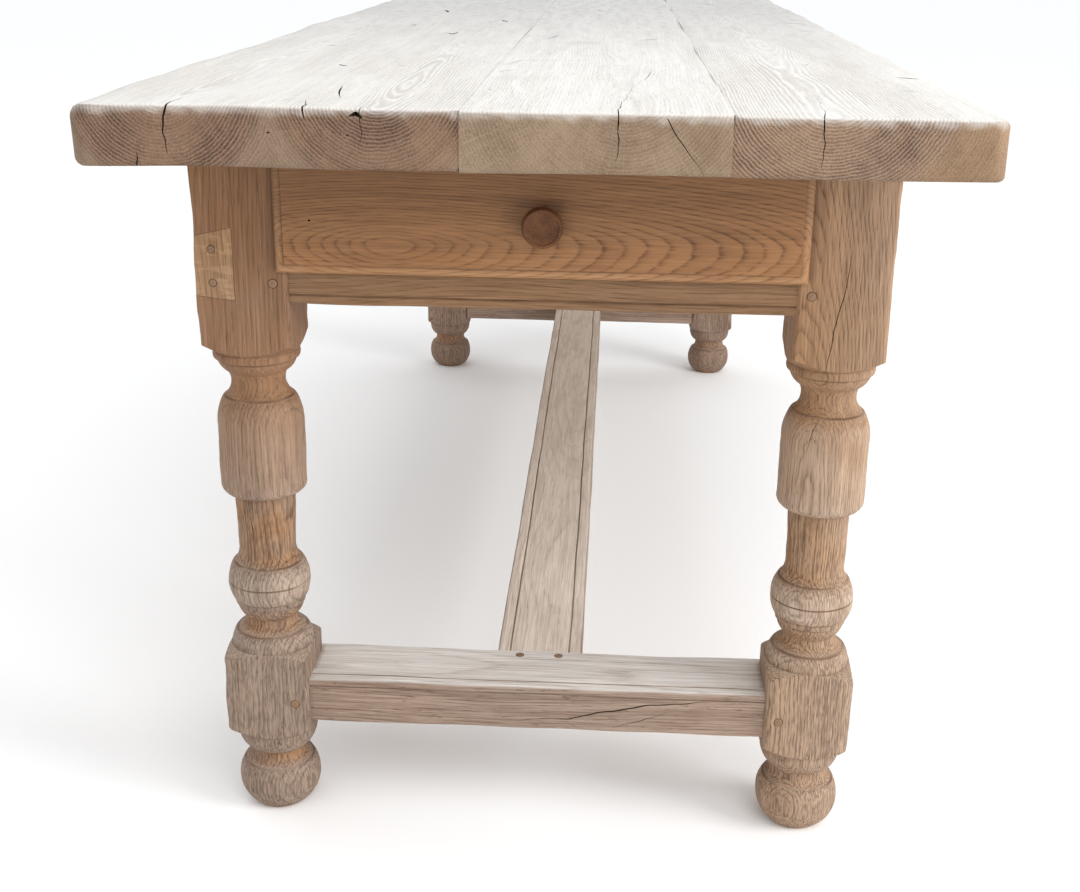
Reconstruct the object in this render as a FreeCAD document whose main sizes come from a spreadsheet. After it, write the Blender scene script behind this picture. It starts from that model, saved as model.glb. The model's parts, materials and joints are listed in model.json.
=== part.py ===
"""Refectory table: three-plank top, turned legs, stretchers and one drawer.

Millimetres, +Z up. The origin is on the floor under the middle of the top, +Y runs along the table,
and the drawer opens at the -Y end.
"""
import FreeCAD, Part
import math
import os
from collections import defaultdict
from types import SimpleNamespace

import Sketcher
from FreeCAD import Placement, Rotation, Vector

# Driving dimensions, in millimetres
SIZES = {
    # Top
    "table_height": 770,
    "top_length": 2040,
    "left_plank_width": 322,
    "middle_plank_width": 220,
    "right_plank_width": 222,
    "top_thickness": 50,
    "top_upper_round": 9,
    "top_lower_round": 5,
    "top_corner_round": 14,
    "tongue_width": 28,
    "tongue_thickness": 12,
    "tongue_setback": 70,
    # Legs
    "side_overhang": 56,
    "end_overhang": 141,
    "leg_side": 88,
    "leg_edge_round": 3.5,
    "upper_block_height": 203,
    "lower_block_height": 100,
    "foot_height": 94.5,
    "block_shoulder": 14,
    # Repair let into the left front leg
    "patch_width": 37,
    "patch_depth": 9,
    "patch_rise": 2.5,
    "patch_inner_height": 69.5,
    "patch_outer_height": 56.5,
    "patch_slant": 4.6,
    "patch_peg_inset": 17,
    "patch_peg_low": 19.5,
    "patch_peg_spacing": 32,
    "patch_peg_radius": 3.8,
    "patch_peg_length": 26,
    # Aprons and drawer rail
    "apron_height": 150,
    "apron_thickness": 26,
    "apron_setback": 8,
    "rail_height": 40,
    "rail_setback": 3,
    "bead_width": 8,
    "bead_round": 4,
    "quirk_width": 2.4,
    "quirk_depth": 2,
    "tenon_length": 42,
    "tenon_thickness": 10,
    "tenon_shoulder": 12,
    "rail_tenon_shoulder": 6,
    # Stretchers
    "stretcher_top": 163.5,
    "stretcher_height": 49,
    "stretcher_width": 82,
    "stretcher_setback": 9,
    "long_stretcher_width": 92,
    "stretcher_bead_width": 13,
    "stretcher_bead_drop": 7,
    "stretcher_round": 5,
    "stretcher_tenon_width": 46,
    "stretcher_tenon_height": 24,
    "stretcher_tenon_length": 45,
    "long_tenon_width": 62,
    "long_tenon_height": 20,
    "long_tenon_length": 40,
    # Pegs and fits
    "peg_radius": 4.5,
    "peg_length": 40,
    "peg_inset": 14,
    "apron_peg_spacing": 70,
    "stretcher_peg_length": 62,
    "long_peg_length": 42,
    "long_peg_spacing": 42,
    "long_peg_inset": 11,
    "fit_clearance": 0.15,
    "peg_clearance": 0.1,
    "mortise_room": 2,
    "overrun": 3,
    # Rails across the frame, under the top
    "cross_rail_thickness": 32,
    "cross_rail_height": 130,
    "cross_tenon_length": 14,
    "cross_tenon_thickness": 12,
    "cross_tenon_height": 70,
    # What the drawer runs on
    "runner_thickness": 20,
    "runner_ledge": 26,
    "runner_tenon_length": 8,
    "runner_tenon_thickness": 9,
    "runner_nose_tenon_width": 16,
    "runner_end_tenon_width": 50,
    "guide_width": 20,
    "guide_height": 30,
    "guide_nail_length": 44,
    # Drawer
    "drawer_length": 500,
    "drawer_front_thickness": 26,
    "drawer_lip_thickness": 10,
    "drawer_lip_overlap": 9,
    "drawer_lip_drop": 8,
    "drawer_lip_round": 4,
    "drawer_quirk_inset": 8,
    "drawer_rest_gap": 0.3,
    "drawer_running_gap": 0.3,
    "drawer_side_gap": 1,
    "drawer_top_gap": 3,
    "drawer_back_room": 20,
    "drawer_side_thickness": 12,
    "drawer_back_thickness": 12,
    "drawer_back_inset": 20,
    "drawer_back_drop": 8,
    "drawer_dado_depth": 4,
    "drawer_board_thickness": 8,
    "drawer_board_rise": 10,
    "drawer_groove_depth": 6,
    "dovetail_length": 13,
    "dovetail_width": 20,
    "dovetail_flare": 4,
    "bottom_nail_length": 24,
    "knob_radius": 19,
    "knob_length": 27,
    "knob_rise": 45,
    "knob_offset": 3,
    "knob_spigot_radius": 7,
    # Small metal fixings and wooden buttons
    "nail_radius": 1.5,
    "nail_head_radius": 3.2,
    "nail_head_thickness": 1.4,
    "screw_radius": 2.2,
    "screw_head_radius": 4.5,
    "screw_head_thickness": 2.5,
    "screw_length": 44,
    "button_length": 40,
    "button_width": 30,
    "button_thickness": 22,
    "button_tongue_length": 10,
    "button_tongue_thickness": 8,
    "button_play": 4,
}

# Turned outline of a leg between its blocks, from the top down: shares of half the leg's side and of the
# turned length. A row is an end point, after the point that an arc passes through, if it is an arc.
TURNING_SHARES = (
    ((0.985, 1.0),),
    ((0.955, 0.997),),
    ((0.98, 0.984), (0.955, 0.969)),
    ((0.90, 0.967),),
    ((0.825, 0.944), (0.68, 0.927)),
    ((0.61, 0.898), (0.775, 0.848)),
    ((0.81, 0.846),),
    ((0.935, 0.806), (0.98, 0.745)),
    ((0.99, 0.66), (0.98, 0.564)),
    ((0.93, 0.538), (0.785, 0.528)),
    ((0.705, 0.521),),
    ((0.66, 0.335),),
    ((0.695, 0.309), (0.785, 0.289)),
    ((0.82, 0.287),),
    ((0.968, 0.222), (0.875, 0.163)),
    ((0.845, 0.161),),
    ((0.815, 0.142),),
    ((0.785, 0.14),),
    ((0.71, 0.112), (0.6, 0.094)),
    ((0.635, 0.07), (0.82, 0.05)),
    ((0.85, 0.048),),
    ((0.935, 0.028), (0.985, 0.0)),
)
# Turned outline of the foot, from the lower block down, in shares of half the side and of the foot's height
FOOT_SHARES = (
    ((0.985, 1.0),),
    ((0.955, 0.995),),
    ((0.92, 0.86), (0.795, 0.767)),
    ((0.73, 0.762),),
    ((0.67, 0.656), (0.82, 0.561)),
    ((0.85, 0.555),),
    ((0.985, 0.3), (0.62, 0.0)),
)
# Turned outline of the knob in front of the drawer: shares of its radius and of its length
KNOB_SHARES = (
    ((0.6, 0.0),),
    ((0.5, 0.24), (0.64, 0.48)),
    ((0.94, 0.62),),
    ((1.0, 0.76), (0.93, 0.93)),
    ((0.86, 0.99), (0.78, 0.96)),
    ((0.55, 0.935), (0.3, 0.925)),
    ((0.0, 0.925),),
)
# A corner of the leg's square stands at 0.71 of its side from the axis
CORNER_REACH_SHARE = 0.75
# How far the middle of a quarter round stands from each of the faces that it joins
ROUND_SHARE = 1 - math.sqrt(0.5)
# Places along the frame, in shares of half its clear length, and along a guide or the drawer's back
BUTTON_SHARES = (-0.72, -0.17, 0.17, 0.72)
NAIL_SHARES = (0.1, 0.5, 0.9)
DOVETAIL_COUNT = 3
PATCH_PEG_COUNT = 2
BOARD_NAMES = ("front", "middle", "back")
# Two coordinates closer than this are the same
SAME = 1e-6

SIDES = {"left": -1, "right": 1}
ENDS = {"front": -1, "back": 1}
X, Y, Z = range(3)
UPRIGHT = {
    (X, 1): Rotation(Vector(0, 1, 0), 90),
    (X, -1): Rotation(Vector(0, 1, 0), -90),
    (Y, 1): Rotation(Vector(1, 0, 0), -90),
    (Y, -1): Rotation(Vector(1, 0, 0), 90),
    (Z, 1): Rotation(),
    (Z, -1): Rotation(Vector(1, 0, 0), 180),
}


class Size:
    """A length: its number, and the expression that ties it to the sheet."""

    def __init__(self, number, text):
        self.number = number
        self.text = text

    def __add__(self, other):
        return Size(self.number + other.number, f"({self.text} + {other.text})")

    def __sub__(self, other):
        return Size(self.number - other.number, f"({self.text} - {other.text})")

    def __neg__(self):
        return Size(-self.number, f"(0 - {self.text})")

    def __mul__(self, factor):
        return Size(self.number * factor, f"({self.text} * ({factor}))")

    def __truediv__(self, factor):
        return Size(self.number / factor, f"({self.text} / {factor})")


doc = FreeCAD.newDocument("refectory_table")
sheet = doc.addObject("Spreadsheet::Sheet", "Sizes")
size = SimpleNamespace()
for row, (alias, number) in enumerate(SIZES.items(), start=1):
    sheet.set(f"A{row}", alias)
    sheet.set(f"B{row}", str(number))
    sheet.setAlias(f"B{row}", alias)
    setattr(size, alias, Size(number, f"Sizes.{alias}"))
doc.recompute()
ZERO = Size(0, "0")


def bind(thing, **sizes):
    """Ties properties of an object to sizes."""
    for name, length in sizes.items():
        thing.setExpression(name, length.text)


def place(thing, x, y, z):
    """Ties the place of an object to sizes."""
    for axis, length in zip("xyz", (x, y, z)):
        thing.setExpression(f"Placement.Base.{axis}", length.text)


def block(name, centre, extent):
    """Box about a centre."""
    box = doc.addObject("Part::Box", name)
    bind(box, Length=extent[X], Width=extent[Y], Height=extent[Z])
    place(box, *(middle - reach / 2 for middle, reach in zip(centre, extent)))
    return box


def span_block(name, low, high, across=1):
    """Box from one corner to the opposite one, or its mirror image on the left."""
    centre = [(start + end) / 2 for start, end in zip(low, high)]
    centre[X] = centre[X] * across
    extent = [end - start for start, end in zip(low, high)]
    return block(name, centre, extent)


def section_across(axis, width, height):
    """Width and height of a piece that runs along a level axis."""
    section = [width, width, height]
    section[axis] = ZERO
    return section


def face_block(name, root, axis, sense, section, inside, outside):
    """Box across a face: it reaches inside and outside of the root point along one axis."""
    centre = list(root)
    centre[axis] = root[axis] + (outside - inside) * (sense / 2)
    extent = list(section)
    extent[axis] = inside + outside
    return block(name, centre, extent)


def rod(name, start, axis, sense, radius, length):
    """Cylinder from a start point along an axis."""
    cylinder = doc.addObject("Part::Cylinder", name)
    cylinder.Placement = Placement(Vector(), UPRIGHT[axis, sense])
    bind(cylinder, Radius=radius, Height=length)
    place(cylinder, *start)
    return cylinder


def join(name, pieces):
    """One solid of several that meet, or one tool of several cuts."""
    fused = doc.addObject("Part::MultiFuse", name)
    fused.Shapes = pieces
    fused.Refine = True
    return fused


def cut(name, base, tools):
    """The base without its tools."""
    result = doc.addObject("Part::Cut", name)
    result.Base = base
    result.Tool = tools[0] if len(tools) == 1 else join(f"{name}_cuts", tools)
    result.Refine = True
    return result


def group(name, pieces):
    """Several separate solids under one name."""
    together = doc.addObject("Part::Compound", name)
    together.Links = pieces
    return together


def new_body(name):
    """Empty body for sketched features."""
    return doc.addObject("PartDesign::Body", name)


def hold(links, geometry, point, place_in_sketch):
    """Adds the distances from the sketch's origin that hold one point."""
    for kind, axis, length in zip(("DistanceX", "DistanceY"), (-2, -1), place_in_sketch):
        if abs(length.number) < SAME:
            links.append((Sketcher.Constraint("PointOnObject", geometry, point, axis), None))
        elif length.number > 0:
            links.append((Sketcher.Constraint(kind, -1, 1, geometry, point, length.number), length.text))
        else:
            constraint = Sketcher.Constraint(kind, geometry, point, -1, 1, -length.number)
            links.append((constraint, (-length).text))


def vector(point):
    """Sketch point as a vector."""
    return Vector(point[0].number, point[1].number, 0)


def outline(body, name, role, rows):
    """Closed sketch on one of the body's origin planes. A row ends in a corner, by a line or by an arc."""
    sketch = body.newObject("Sketcher::SketchObject", name)
    plane = next(feature for feature in body.Origin.OriginFeatures if feature.Role == role)
    sketch.AttachmentSupport = (plane, [""])
    sketch.MapMode = "FlatFace"
    links = []
    runs = []
    for before, this in zip((rows[-1],) + tuple(rows[:-1]), rows):
        start, end = vector(before[-1]), vector(this[-1])
        if len(this) == 1:
            run = sketch.addGeometry(Part.LineSegment(start, end), False)
        else:
            run = sketch.addGeometry(Part.Arc(start, vector(this[0]), end), False)
            through = sketch.addGeometry(Part.Point(vector(this[0])), True)
            hold(links, through, 1, this[0])
            links.append((Sketcher.Constraint("PointOnObject", through, 1, run), None))
        first = 1 if sketch.getPoint(run, 1).distanceToPoint(start) < SAME else 2
        last = 3 - first
        hold(links, run, last, this[-1])
        runs.append((run, first, last))
    for (run, _, last), (following, first, _) in zip(runs, runs[1:] + runs[:1]):
        links.append((Sketcher.Constraint("Coincident", run, last, following, first), None))
    sketch.addConstraint([constraint for constraint, _ in links])
    for index, (_, text) in enumerate(links):
        if text:
            sketch.setExpression(f"Constraints[{index}]", text)
    return sketch


def corners(*points):
    """Rows of a straight-sided outline."""
    return [(point,) for point in points]


def rectangle(low_x, low_y, high_x, high_y):
    """Rows of a rectangle."""
    return corners((low_x, low_y), (high_x, low_y), (high_x, high_y), (low_x, high_y))


def pad(body, name, sketch, length, middle=False, reverse=False):
    """Material along the sketch's normal."""
    feature = body.newObject("PartDesign::Pad", name)
    feature.Profile = sketch
    feature.Midplane = middle
    feature.Reversed = reverse
    bind(feature, Length=length)
    return feature


def turn(body, kind, name, sketch):
    """Full turn of a sketch about its upright axis."""
    feature = body.newObject(f"PartDesign::{kind}", name)
    feature.Profile = sketch
    feature.ReferenceAxis = (sketch, ["V_Axis"])
    feature.Angle = 360
    return feature


def stands_upright(box):
    """Says whether the edge in a bounding box is upright."""
    return box.ZLength > box.DiagonalLength - SAME


def round_edges(body, name, base, radius, chosen):
    """Rounds the edges of the last feature that a test on their bounding box picks."""
    doc.recompute()
    edges = [
        f"Edge{number}"
        for number, edge in enumerate(base.Shape.Edges, start=1)
        if chosen(edge.BoundBox)
    ]
    fillet = body.newObject("PartDesign::Fillet", name)
    fillet.Base = (base, edges)
    bind(fillet, Radius=radius)
    return fillet


def tenon_and_mortise(name, root, axis, sense, section, length):
    """Tenon on a shoulder, and the mortise that takes it with its clearance."""
    tenon = face_block(f"{name}_tenon", root, axis, sense, section, size.overrun, length)
    loose = [side + size.fit_clearance * 2 for side in section]
    room = length + size.mortise_room
    mortise = face_block(f"{name}_mortise", root, axis, sense, loose, size.overrun, room)
    return tenon, mortise


def peg_and_hole(name, start, axis, sense, radius, length):
    """Pin from a face into the wood, and its hole."""
    pin = rod(name, start, axis, sense, radius, length)
    outside = list(start)
    outside[axis] = start[axis] - size.overrun * sense
    hole = rod(f"{name}_hole", outside, axis, sense, radius + size.peg_clearance, length + size.overrun)
    return pin, hole


def headed_nail(name, start, sense, length):
    """Upright nail whose head lies on the face at its start, and the hole for its shank."""
    shank, hole = peg_and_hole(f"{name}_shank", start, Z, sense, size.nail_radius, length)
    head = rod(f"{name}_head", start, Z, -sense, size.nail_head_radius, size.nail_head_thickness)
    return join(name, [shank, head]), hole


# Planes that the pieces share: top, frame, stretchers, cross rails and drawer
half_top = (size.left_plank_width + size.middle_plank_width + size.right_plank_width) / 2
left_joint_x = size.left_plank_width - half_top
right_joint_x = half_top - size.right_plank_width
frame_top = size.table_height - size.top_thickness
half_leg = size.leg_side / 2
leg_x = half_top - size.side_overhang - half_leg
leg_y = size.top_length / 2 - size.end_overhang - half_leg
inner_x = leg_x - half_leg
inner_y = leg_y - half_leg
outer_x = leg_x + half_leg
outer_y = leg_y + half_leg
apron_x = outer_x - size.apron_setback - size.apron_thickness / 2
apron_inner_x = apron_x - size.apron_thickness / 2
rail_y = outer_y - size.rail_setback - size.apron_thickness / 2
rail_inner_y = rail_y - size.apron_thickness / 2
apron_bottom = frame_top - size.apron_height
apron_z = apron_bottom + size.apron_height / 2
rail_z = apron_bottom + size.rail_height / 2
rail_top = apron_bottom + size.rail_height
stretcher_y = outer_y - size.stretcher_setback - size.stretcher_width / 2
stretcher_inner_y = stretcher_y - size.stretcher_width / 2
stretcher_bottom = size.stretcher_top - size.stretcher_height
stretcher_z = size.stretcher_top - size.stretcher_height / 2
lip_back_y = -(outer_y + size.drawer_rest_gap)
lip_front_y = lip_back_y - size.drawer_lip_thickness
lip_x = inner_x + size.drawer_lip_overlap
lip_bottom = rail_top - size.drawer_lip_drop
front_rear_y = lip_front_y + size.drawer_front_thickness
drawer_x = inner_x - size.drawer_side_gap
drawer_inside_x = drawer_x - size.drawer_side_thickness
drawer_bottom = rail_top + size.drawer_running_gap
drawer_top = frame_top - size.drawer_top_gap
drawer_end_y = lip_back_y + size.drawer_length
cross_face_y = drawer_end_y + size.drawer_back_room
cross_y = cross_face_y + size.cross_rail_thickness / 2
cross_z = frame_top - size.cross_rail_height / 2
cross_inner_y = cross_y + size.cross_rail_thickness / 2

# Finished pieces, and the cuts that the joints make in them
nodes = []
leg_cuts = {(side, end): [] for side in SIDES for end in ENDS}
plank_cuts = {"left": [], "middle": [], "right": []}
rail_blanks = {}
rail_cuts = defaultdict(list)


def turned_leg():
    """Leg before its joints: square stock, turned between its blocks and at the foot."""
    body = new_body("turned_leg")
    square = rectangle(-half_leg, -half_leg, half_leg, half_leg)
    stock = pad(body, "leg_stock", outline(body, "leg_square", "XY_Plane", square), frame_top)
    round_edges(body, "leg_edges", stock, size.leg_edge_round, stands_upright)
    reach = size.leg_side * CORNER_REACH_SHARE
    lower_top = size.foot_height + size.lower_block_height
    upper_bottom = frame_top - size.upper_block_height
    turned_length = upper_bottom - lower_top

    def turned(shares, base, length):
        """Outline rows in the leg's sizes."""
        return [tuple((half_leg * r, base + length * up) for r, up in row) for row in shares]

    shaft = turned(TURNING_SHARES, lower_top, turned_length)
    shaft.append(((reach, lower_top - size.block_shoulder),))
    shaft.append(((reach, upper_bottom + size.block_shoulder),))
    turn(body, "Groove", "leg_turning", outline(body, "leg_outline", "XZ_Plane", shaft))
    foot = turned(FOOT_SHARES, ZERO, size.foot_height)
    foot.append(((half_leg * FOOT_SHARES[-1][-1][0], -size.overrun),))
    foot.append(((reach, -size.overrun),))
    foot.append(((reach, size.foot_height + size.block_shoulder),))
    turn(body, "Groove", "foot_turning", outline(body, "foot_outline", "XZ_Plane", foot))
    return body


def beaded_section(outward, thickness, height):
    """Section of an apron or rail: bead and quirk along the lower outer edge."""
    face = thickness / 2
    turn_in = size.bead_round * ROUND_SHARE
    quirk_top = size.bead_width + size.quirk_width
    rows = [
        ((-face, ZERO),),
        ((face - size.bead_round, ZERO),),
        ((face - turn_in, turn_in), (face, size.bead_round)),
        ((face, size.bead_width),),
        ((face - size.quirk_depth, size.bead_width + size.quirk_width / 2),),
        ((face, quirk_top),),
        ((face, height),),
        ((-face, height),),
    ]
    return [tuple((across * outward, up) for across, up in row) for row in rows]


def stretcher_edge(width, sense):
    """Half a stretcher's section, from its foot to its top: a corner bead between two quirks."""
    face = width / 2
    top = size.stretcher_height
    drop = top - size.stretcher_bead_drop
    bead = face - size.stretcher_bead_width
    turn_in = size.stretcher_round * ROUND_SHARE
    rows = [
        ((face, ZERO),),
        ((face, drop - size.quirk_width),),
        ((face - size.quirk_depth, drop - size.quirk_width / 2),),
        ((face, drop),),
        ((face, top - size.stretcher_round),),
        ((face - turn_in, top - turn_in), (face - size.stretcher_round, top)),
        ((bead, top),),
        ((bead - size.quirk_width / 2, top - size.quirk_depth),),
        ((bead - size.quirk_width, top),),
    ]
    return [tuple((across * sense, up) for across, up in row) for row in rows]


def beam(name, axis, section, length, x, y, z):
    """Straight piece of one section, centred on its place along the axis."""
    body = new_body(name)
    role = "YZ_Plane" if axis == X else "XZ_Plane"
    pad(body, f"{name}_length", outline(body, f"{name}_section", role, section), length, middle=True)
    place(body, x, y, z)
    return body


def corner_joint(owner, leg, root, axis, sense, section, tenons):
    """Tenon of an apron or rail in a leg."""
    name = f"{owner}_{'_'.join(leg)}"
    tenon, mortise = tenon_and_mortise(name, root, axis, sense, section, size.tenon_length)
    tenons[owner].append(tenon)
    leg_cuts[leg].append(mortise)


def corner_pegs(owner, leg, starts, axis, sense):
    """Pegs through a leg into the tenon of an apron or rail."""
    pegs = []
    for number, start in enumerate(starts):
        name = f"{owner}_{'_'.join(leg)}_peg_{number}"
        pin, hole = peg_and_hole(name, start, axis, sense, size.peg_radius, size.peg_length)
        pegs.append(pin)
        rail_cuts[owner].append(hole)
        leg_cuts[leg].append(hole)
    return pegs


def aprons_and_rail():
    """Side aprons, the back apron and the drawer rail, with their tenons and pegs."""
    apron_pegs = []
    rail_pegs = []
    tenons = {"side_apron_left": [], "side_apron_right": [], "back_apron": [], "drawer_rail": []}
    apron_tenon = size.apron_height - size.tenon_shoulder * 2
    rail_tenon = size.rail_height - size.rail_tenon_shoulder * 2
    apron_heights = [apron_z - size.apron_peg_spacing / 2, apron_z + size.apron_peg_spacing / 2]
    peg_x = inner_x + size.peg_inset
    peg_y = inner_y + size.peg_inset
    for side, across in SIDES.items():
        for end, along in ENDS.items():
            leg = (side, end)
            owner = f"side_apron_{side}"
            section = section_across(Y, size.tenon_thickness, apron_tenon)
            root = (apron_x * across, inner_y * along, apron_z)
            corner_joint(owner, leg, root, Y, along, section, tenons)
            starts = [(outer_x * across, peg_y * along, height) for height in apron_heights]
            apron_pegs += corner_pegs(owner, leg, starts, X, -across)
        section = section_across(X, size.tenon_thickness, rail_tenon)
        leg = (side, "front")
        corner_joint("drawer_rail", leg, (inner_x * across, -rail_y, rail_z), X, across, section, tenons)
        rail_pegs += corner_pegs("drawer_rail", leg, [(peg_x * across, -outer_y, rail_z)], Y, 1)
        section = section_across(X, size.tenon_thickness, apron_tenon)
        leg = (side, "back")
        corner_joint("back_apron", leg, (inner_x * across, rail_y, apron_z), X, across, section, tenons)
        starts = [(peg_x * across, outer_y, height) for height in apron_heights]
        apron_pegs += corner_pegs("back_apron", leg, starts, Y, -1)
    for owner, axis, outward, height, length, x, y in (
        ("side_apron_left", Y, -1, size.apron_height, inner_y * 2, -apron_x, ZERO),
        ("side_apron_right", Y, 1, size.apron_height, inner_y * 2, apron_x, ZERO),
        ("back_apron", X, 1, size.apron_height, inner_x * 2, ZERO, rail_y),
        ("drawer_rail", X, -1, size.rail_height, inner_x * 2, ZERO, -rail_y),
    ):
        section = beaded_section(outward, size.apron_thickness, height)
        solid = beam(f"{owner}_beam", axis, section, length, x, y, apron_bottom)
        rail_blanks[owner] = join(f"{owner}_blank", [solid] + tenons[owner])
    nodes.append(group("apron_pegs", apron_pegs))
    nodes.append(group("rail_pegs", rail_pegs))


def backwards(rows):
    """The same run of rows, drawn from its end to its start."""
    reverse = [(rows[-1][-1],)]
    for this, before in zip(rows[:0:-1], rows[-2::-1]):
        reverse.append(this[:-1] + (before[-1],))
    return reverse


def end_stretcher(end, along, pegs, long_pegs):
    """Stretcher between two legs, mortised for the long one; returns the long one's tenon and peg holes."""
    name = f"end_stretcher_{end}"
    inner = -size.stretcher_width * (along / 2)
    section = stretcher_edge(size.stretcher_width, along)
    section += corners((inner, size.stretcher_height), (inner, ZERO))
    solids = [beam(f"{name}_beam", X, section, inner_x * 2, ZERO, stretcher_y * along, stretcher_bottom)]
    holes = []
    for side, across in SIDES.items():
        root = (inner_x * across, stretcher_y * along, stretcher_z)
        section = section_across(X, size.stretcher_tenon_width, size.stretcher_tenon_height)
        length = size.stretcher_tenon_length
        tenon, mortise = tenon_and_mortise(f"{name}_{side}", root, X, across, section, length)
        solids.append(tenon)
        start = ((inner_x + size.peg_inset) * across, outer_y * along, stretcher_z)
        length = size.stretcher_peg_length
        pin, hole = peg_and_hole(f"{name}_{side}_peg", start, Y, -along, size.peg_radius, length)
        pegs.append(pin)
        holes.append(hole)
        leg_cuts[side, end] += [mortise, hole]
    root = (ZERO, stretcher_inner_y * along, stretcher_z)
    section = section_across(Y, size.long_tenon_width, size.long_tenon_height)
    tenon, mortise = tenon_and_mortise(f"long_{end}", root, Y, along, section, size.long_tenon_length)
    long_holes = []
    for side, across in SIDES.items():
        peg_y = (stretcher_inner_y + size.long_peg_inset) * along
        start = (size.long_peg_spacing * (across / 2), peg_y, size.stretcher_top)
        length = size.long_peg_length
        pin, hole = peg_and_hole(f"long_{end}_{side}_peg", start, Z, -1, size.peg_radius, length)
        long_pegs.append(pin)
        long_holes.append(hole)
    nodes.append(cut(name, join(f"{name}_blank", solids), holes + [mortise] + long_holes))
    return tenon, long_holes


def stretchers():
    """End stretchers between the legs, and the long stretcher between them."""
    pegs = []
    long_pegs = []
    long_holes = []
    half_section = stretcher_edge(size.long_stretcher_width, 1)
    section = half_section + backwards(stretcher_edge(size.long_stretcher_width, -1))
    length = stretcher_inner_y * 2
    solids = [beam("long_stretcher_beam", Y, section, length, ZERO, ZERO, stretcher_bottom)]
    for end, along in ENDS.items():
        tenon, holes = end_stretcher(end, along, pegs, long_pegs)
        solids.append(tenon)
        long_holes += holes
    nodes.append(cut("long_stretcher", join("long_stretcher_blank", solids), long_holes))
    nodes.append(group("stretcher_pegs", pegs))
    nodes.append(group("long_stretcher_pegs", long_pegs))


def cross_rails():
    """Rails between the side aprons, under the top."""
    for end, along in ENDS.items():
        name = f"cross_rail_{end}"
        centre = (ZERO, cross_y * -along, cross_z)
        extent = (apron_inner_x * 2, size.cross_rail_thickness, size.cross_rail_height)
        solids = [block(f"{name}_beam", centre, extent)]
        for side, across in SIDES.items():
            root = (apron_inner_x * across, cross_y * -along, cross_z)
            section = section_across(X, size.cross_tenon_thickness, size.cross_tenon_height)
            length = size.cross_tenon_length
            tenon, mortise = tenon_and_mortise(f"{name}_{side}", root, X, across, section, length)
            solids.append(tenon)
            rail_cuts[f"side_apron_{side}"].append(mortise)
        rail_blanks[name] = join(f"{name}_blank", solids)


def drawer_runner(side, across, nails):
    """Runner under one side of the drawer, tenoned into the rails, and the guide nailed on it."""
    name = f"drawer_runner_{side}"
    ledge_x = inner_x - size.runner_ledge
    nose_x = inner_x - size.drawer_side_gap
    bottom = rail_top - size.runner_thickness
    middle_z = rail_top - size.runner_thickness / 2
    plank_high = (apron_inner_x, cross_face_y, rail_top)
    plank = span_block(f"{name}_plank", (ledge_x, -inner_y, bottom), plank_high, across)
    nose_high = (nose_x, size.overrun - inner_y, rail_top)
    nose = span_block(f"{name}_nose", (ledge_x, -rail_inner_y, bottom), nose_high, across)
    ends = (
        ("drawer_rail", (ledge_x + nose_x) / 2, -rail_inner_y, -1, size.runner_nose_tenon_width),
        ("cross_rail_front", (ledge_x + apron_inner_x) / 2, cross_face_y, 1, size.runner_end_tenon_width),
    )
    solids = [plank, nose]
    for carrier, x, y, sense, width in ends:
        section = section_across(Y, width, size.runner_tenon_thickness)
        root = (x * across, y, middle_z)
        length = size.runner_tenon_length
        tenon, mortise = tenon_and_mortise(f"{name}_{carrier}", root, Y, sense, section, length)
        solids.append(tenon)
        rail_cuts[carrier].append(mortise)
    guide_top = rail_top + size.guide_height
    guide_high = (inner_x + size.guide_width, cross_face_y, guide_top)
    guide = span_block(f"drawer_guide_{side}_strip", (inner_x, -inner_y, rail_top), guide_high, across)
    holes = []
    for number, share in enumerate(NAIL_SHARES):
        y = (cross_face_y + inner_y) * share - inner_y
        start = ((inner_x + size.guide_width / 2) * across, y, guide_top)
        nail, hole = headed_nail(f"guide_nail_{side}_{number}", start, -1, size.guide_nail_length)
        nails.append(nail)
        holes.append(hole)
    nodes.append(cut(name, join(f"{name}_blank", solids), holes))
    nodes.append(cut(f"drawer_guide_{side}", guide, holes))


def runners():
    """Both runners with their guides."""
    nails = []
    for side, across in SIDES.items():
        drawer_runner(side, across, nails)
    nodes.append(group("guide_nails", nails))


def button(name, carrier, plank, x, y, axis, sense):
    """Wooden button on its carrier's face, its tongue in a slot there, and the screw into the plank."""
    bottom = frame_top - size.button_thickness
    tongue_z = bottom + size.button_tongue_thickness / 2
    section = section_across(axis, size.button_width, size.button_thickness)
    root = (x, y, frame_top - size.button_thickness / 2)
    body = face_block(f"{name}_block", root, axis, sense, section, size.button_length, ZERO)
    section = section_across(axis, size.button_width, size.button_tongue_thickness)
    length = size.button_tongue_length
    tongue = face_block(f"{name}_tongue", (x, y, tongue_z), axis, sense, section, size.overrun, length)
    section = section_across(
        axis,
        size.button_width + size.button_play * 2,
        size.button_tongue_thickness + size.fit_clearance * 2,
    )
    root = (x, y, tongue_z - size.fit_clearance)
    length = length + size.mortise_room
    slot = face_block(f"{name}_slot", root, axis, sense, section, size.overrun, length)
    rail_cuts[carrier].append(slot)
    start = [x, y, bottom]
    start[axis] = start[axis] - size.button_length * (sense / 2)
    length = size.screw_length
    shank, hole = peg_and_hole(f"{name}_shank", start, Z, 1, size.screw_radius, length)
    head = rod(f"{name}_head", start, Z, -1, size.screw_head_radius, size.screw_head_thickness)
    plank_cuts[plank].append(hole)
    piece = cut(name, join(f"{name}_blank", [body, tongue]), [hole])
    return piece, join(f"{name}_screw", [shank, head])


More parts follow.
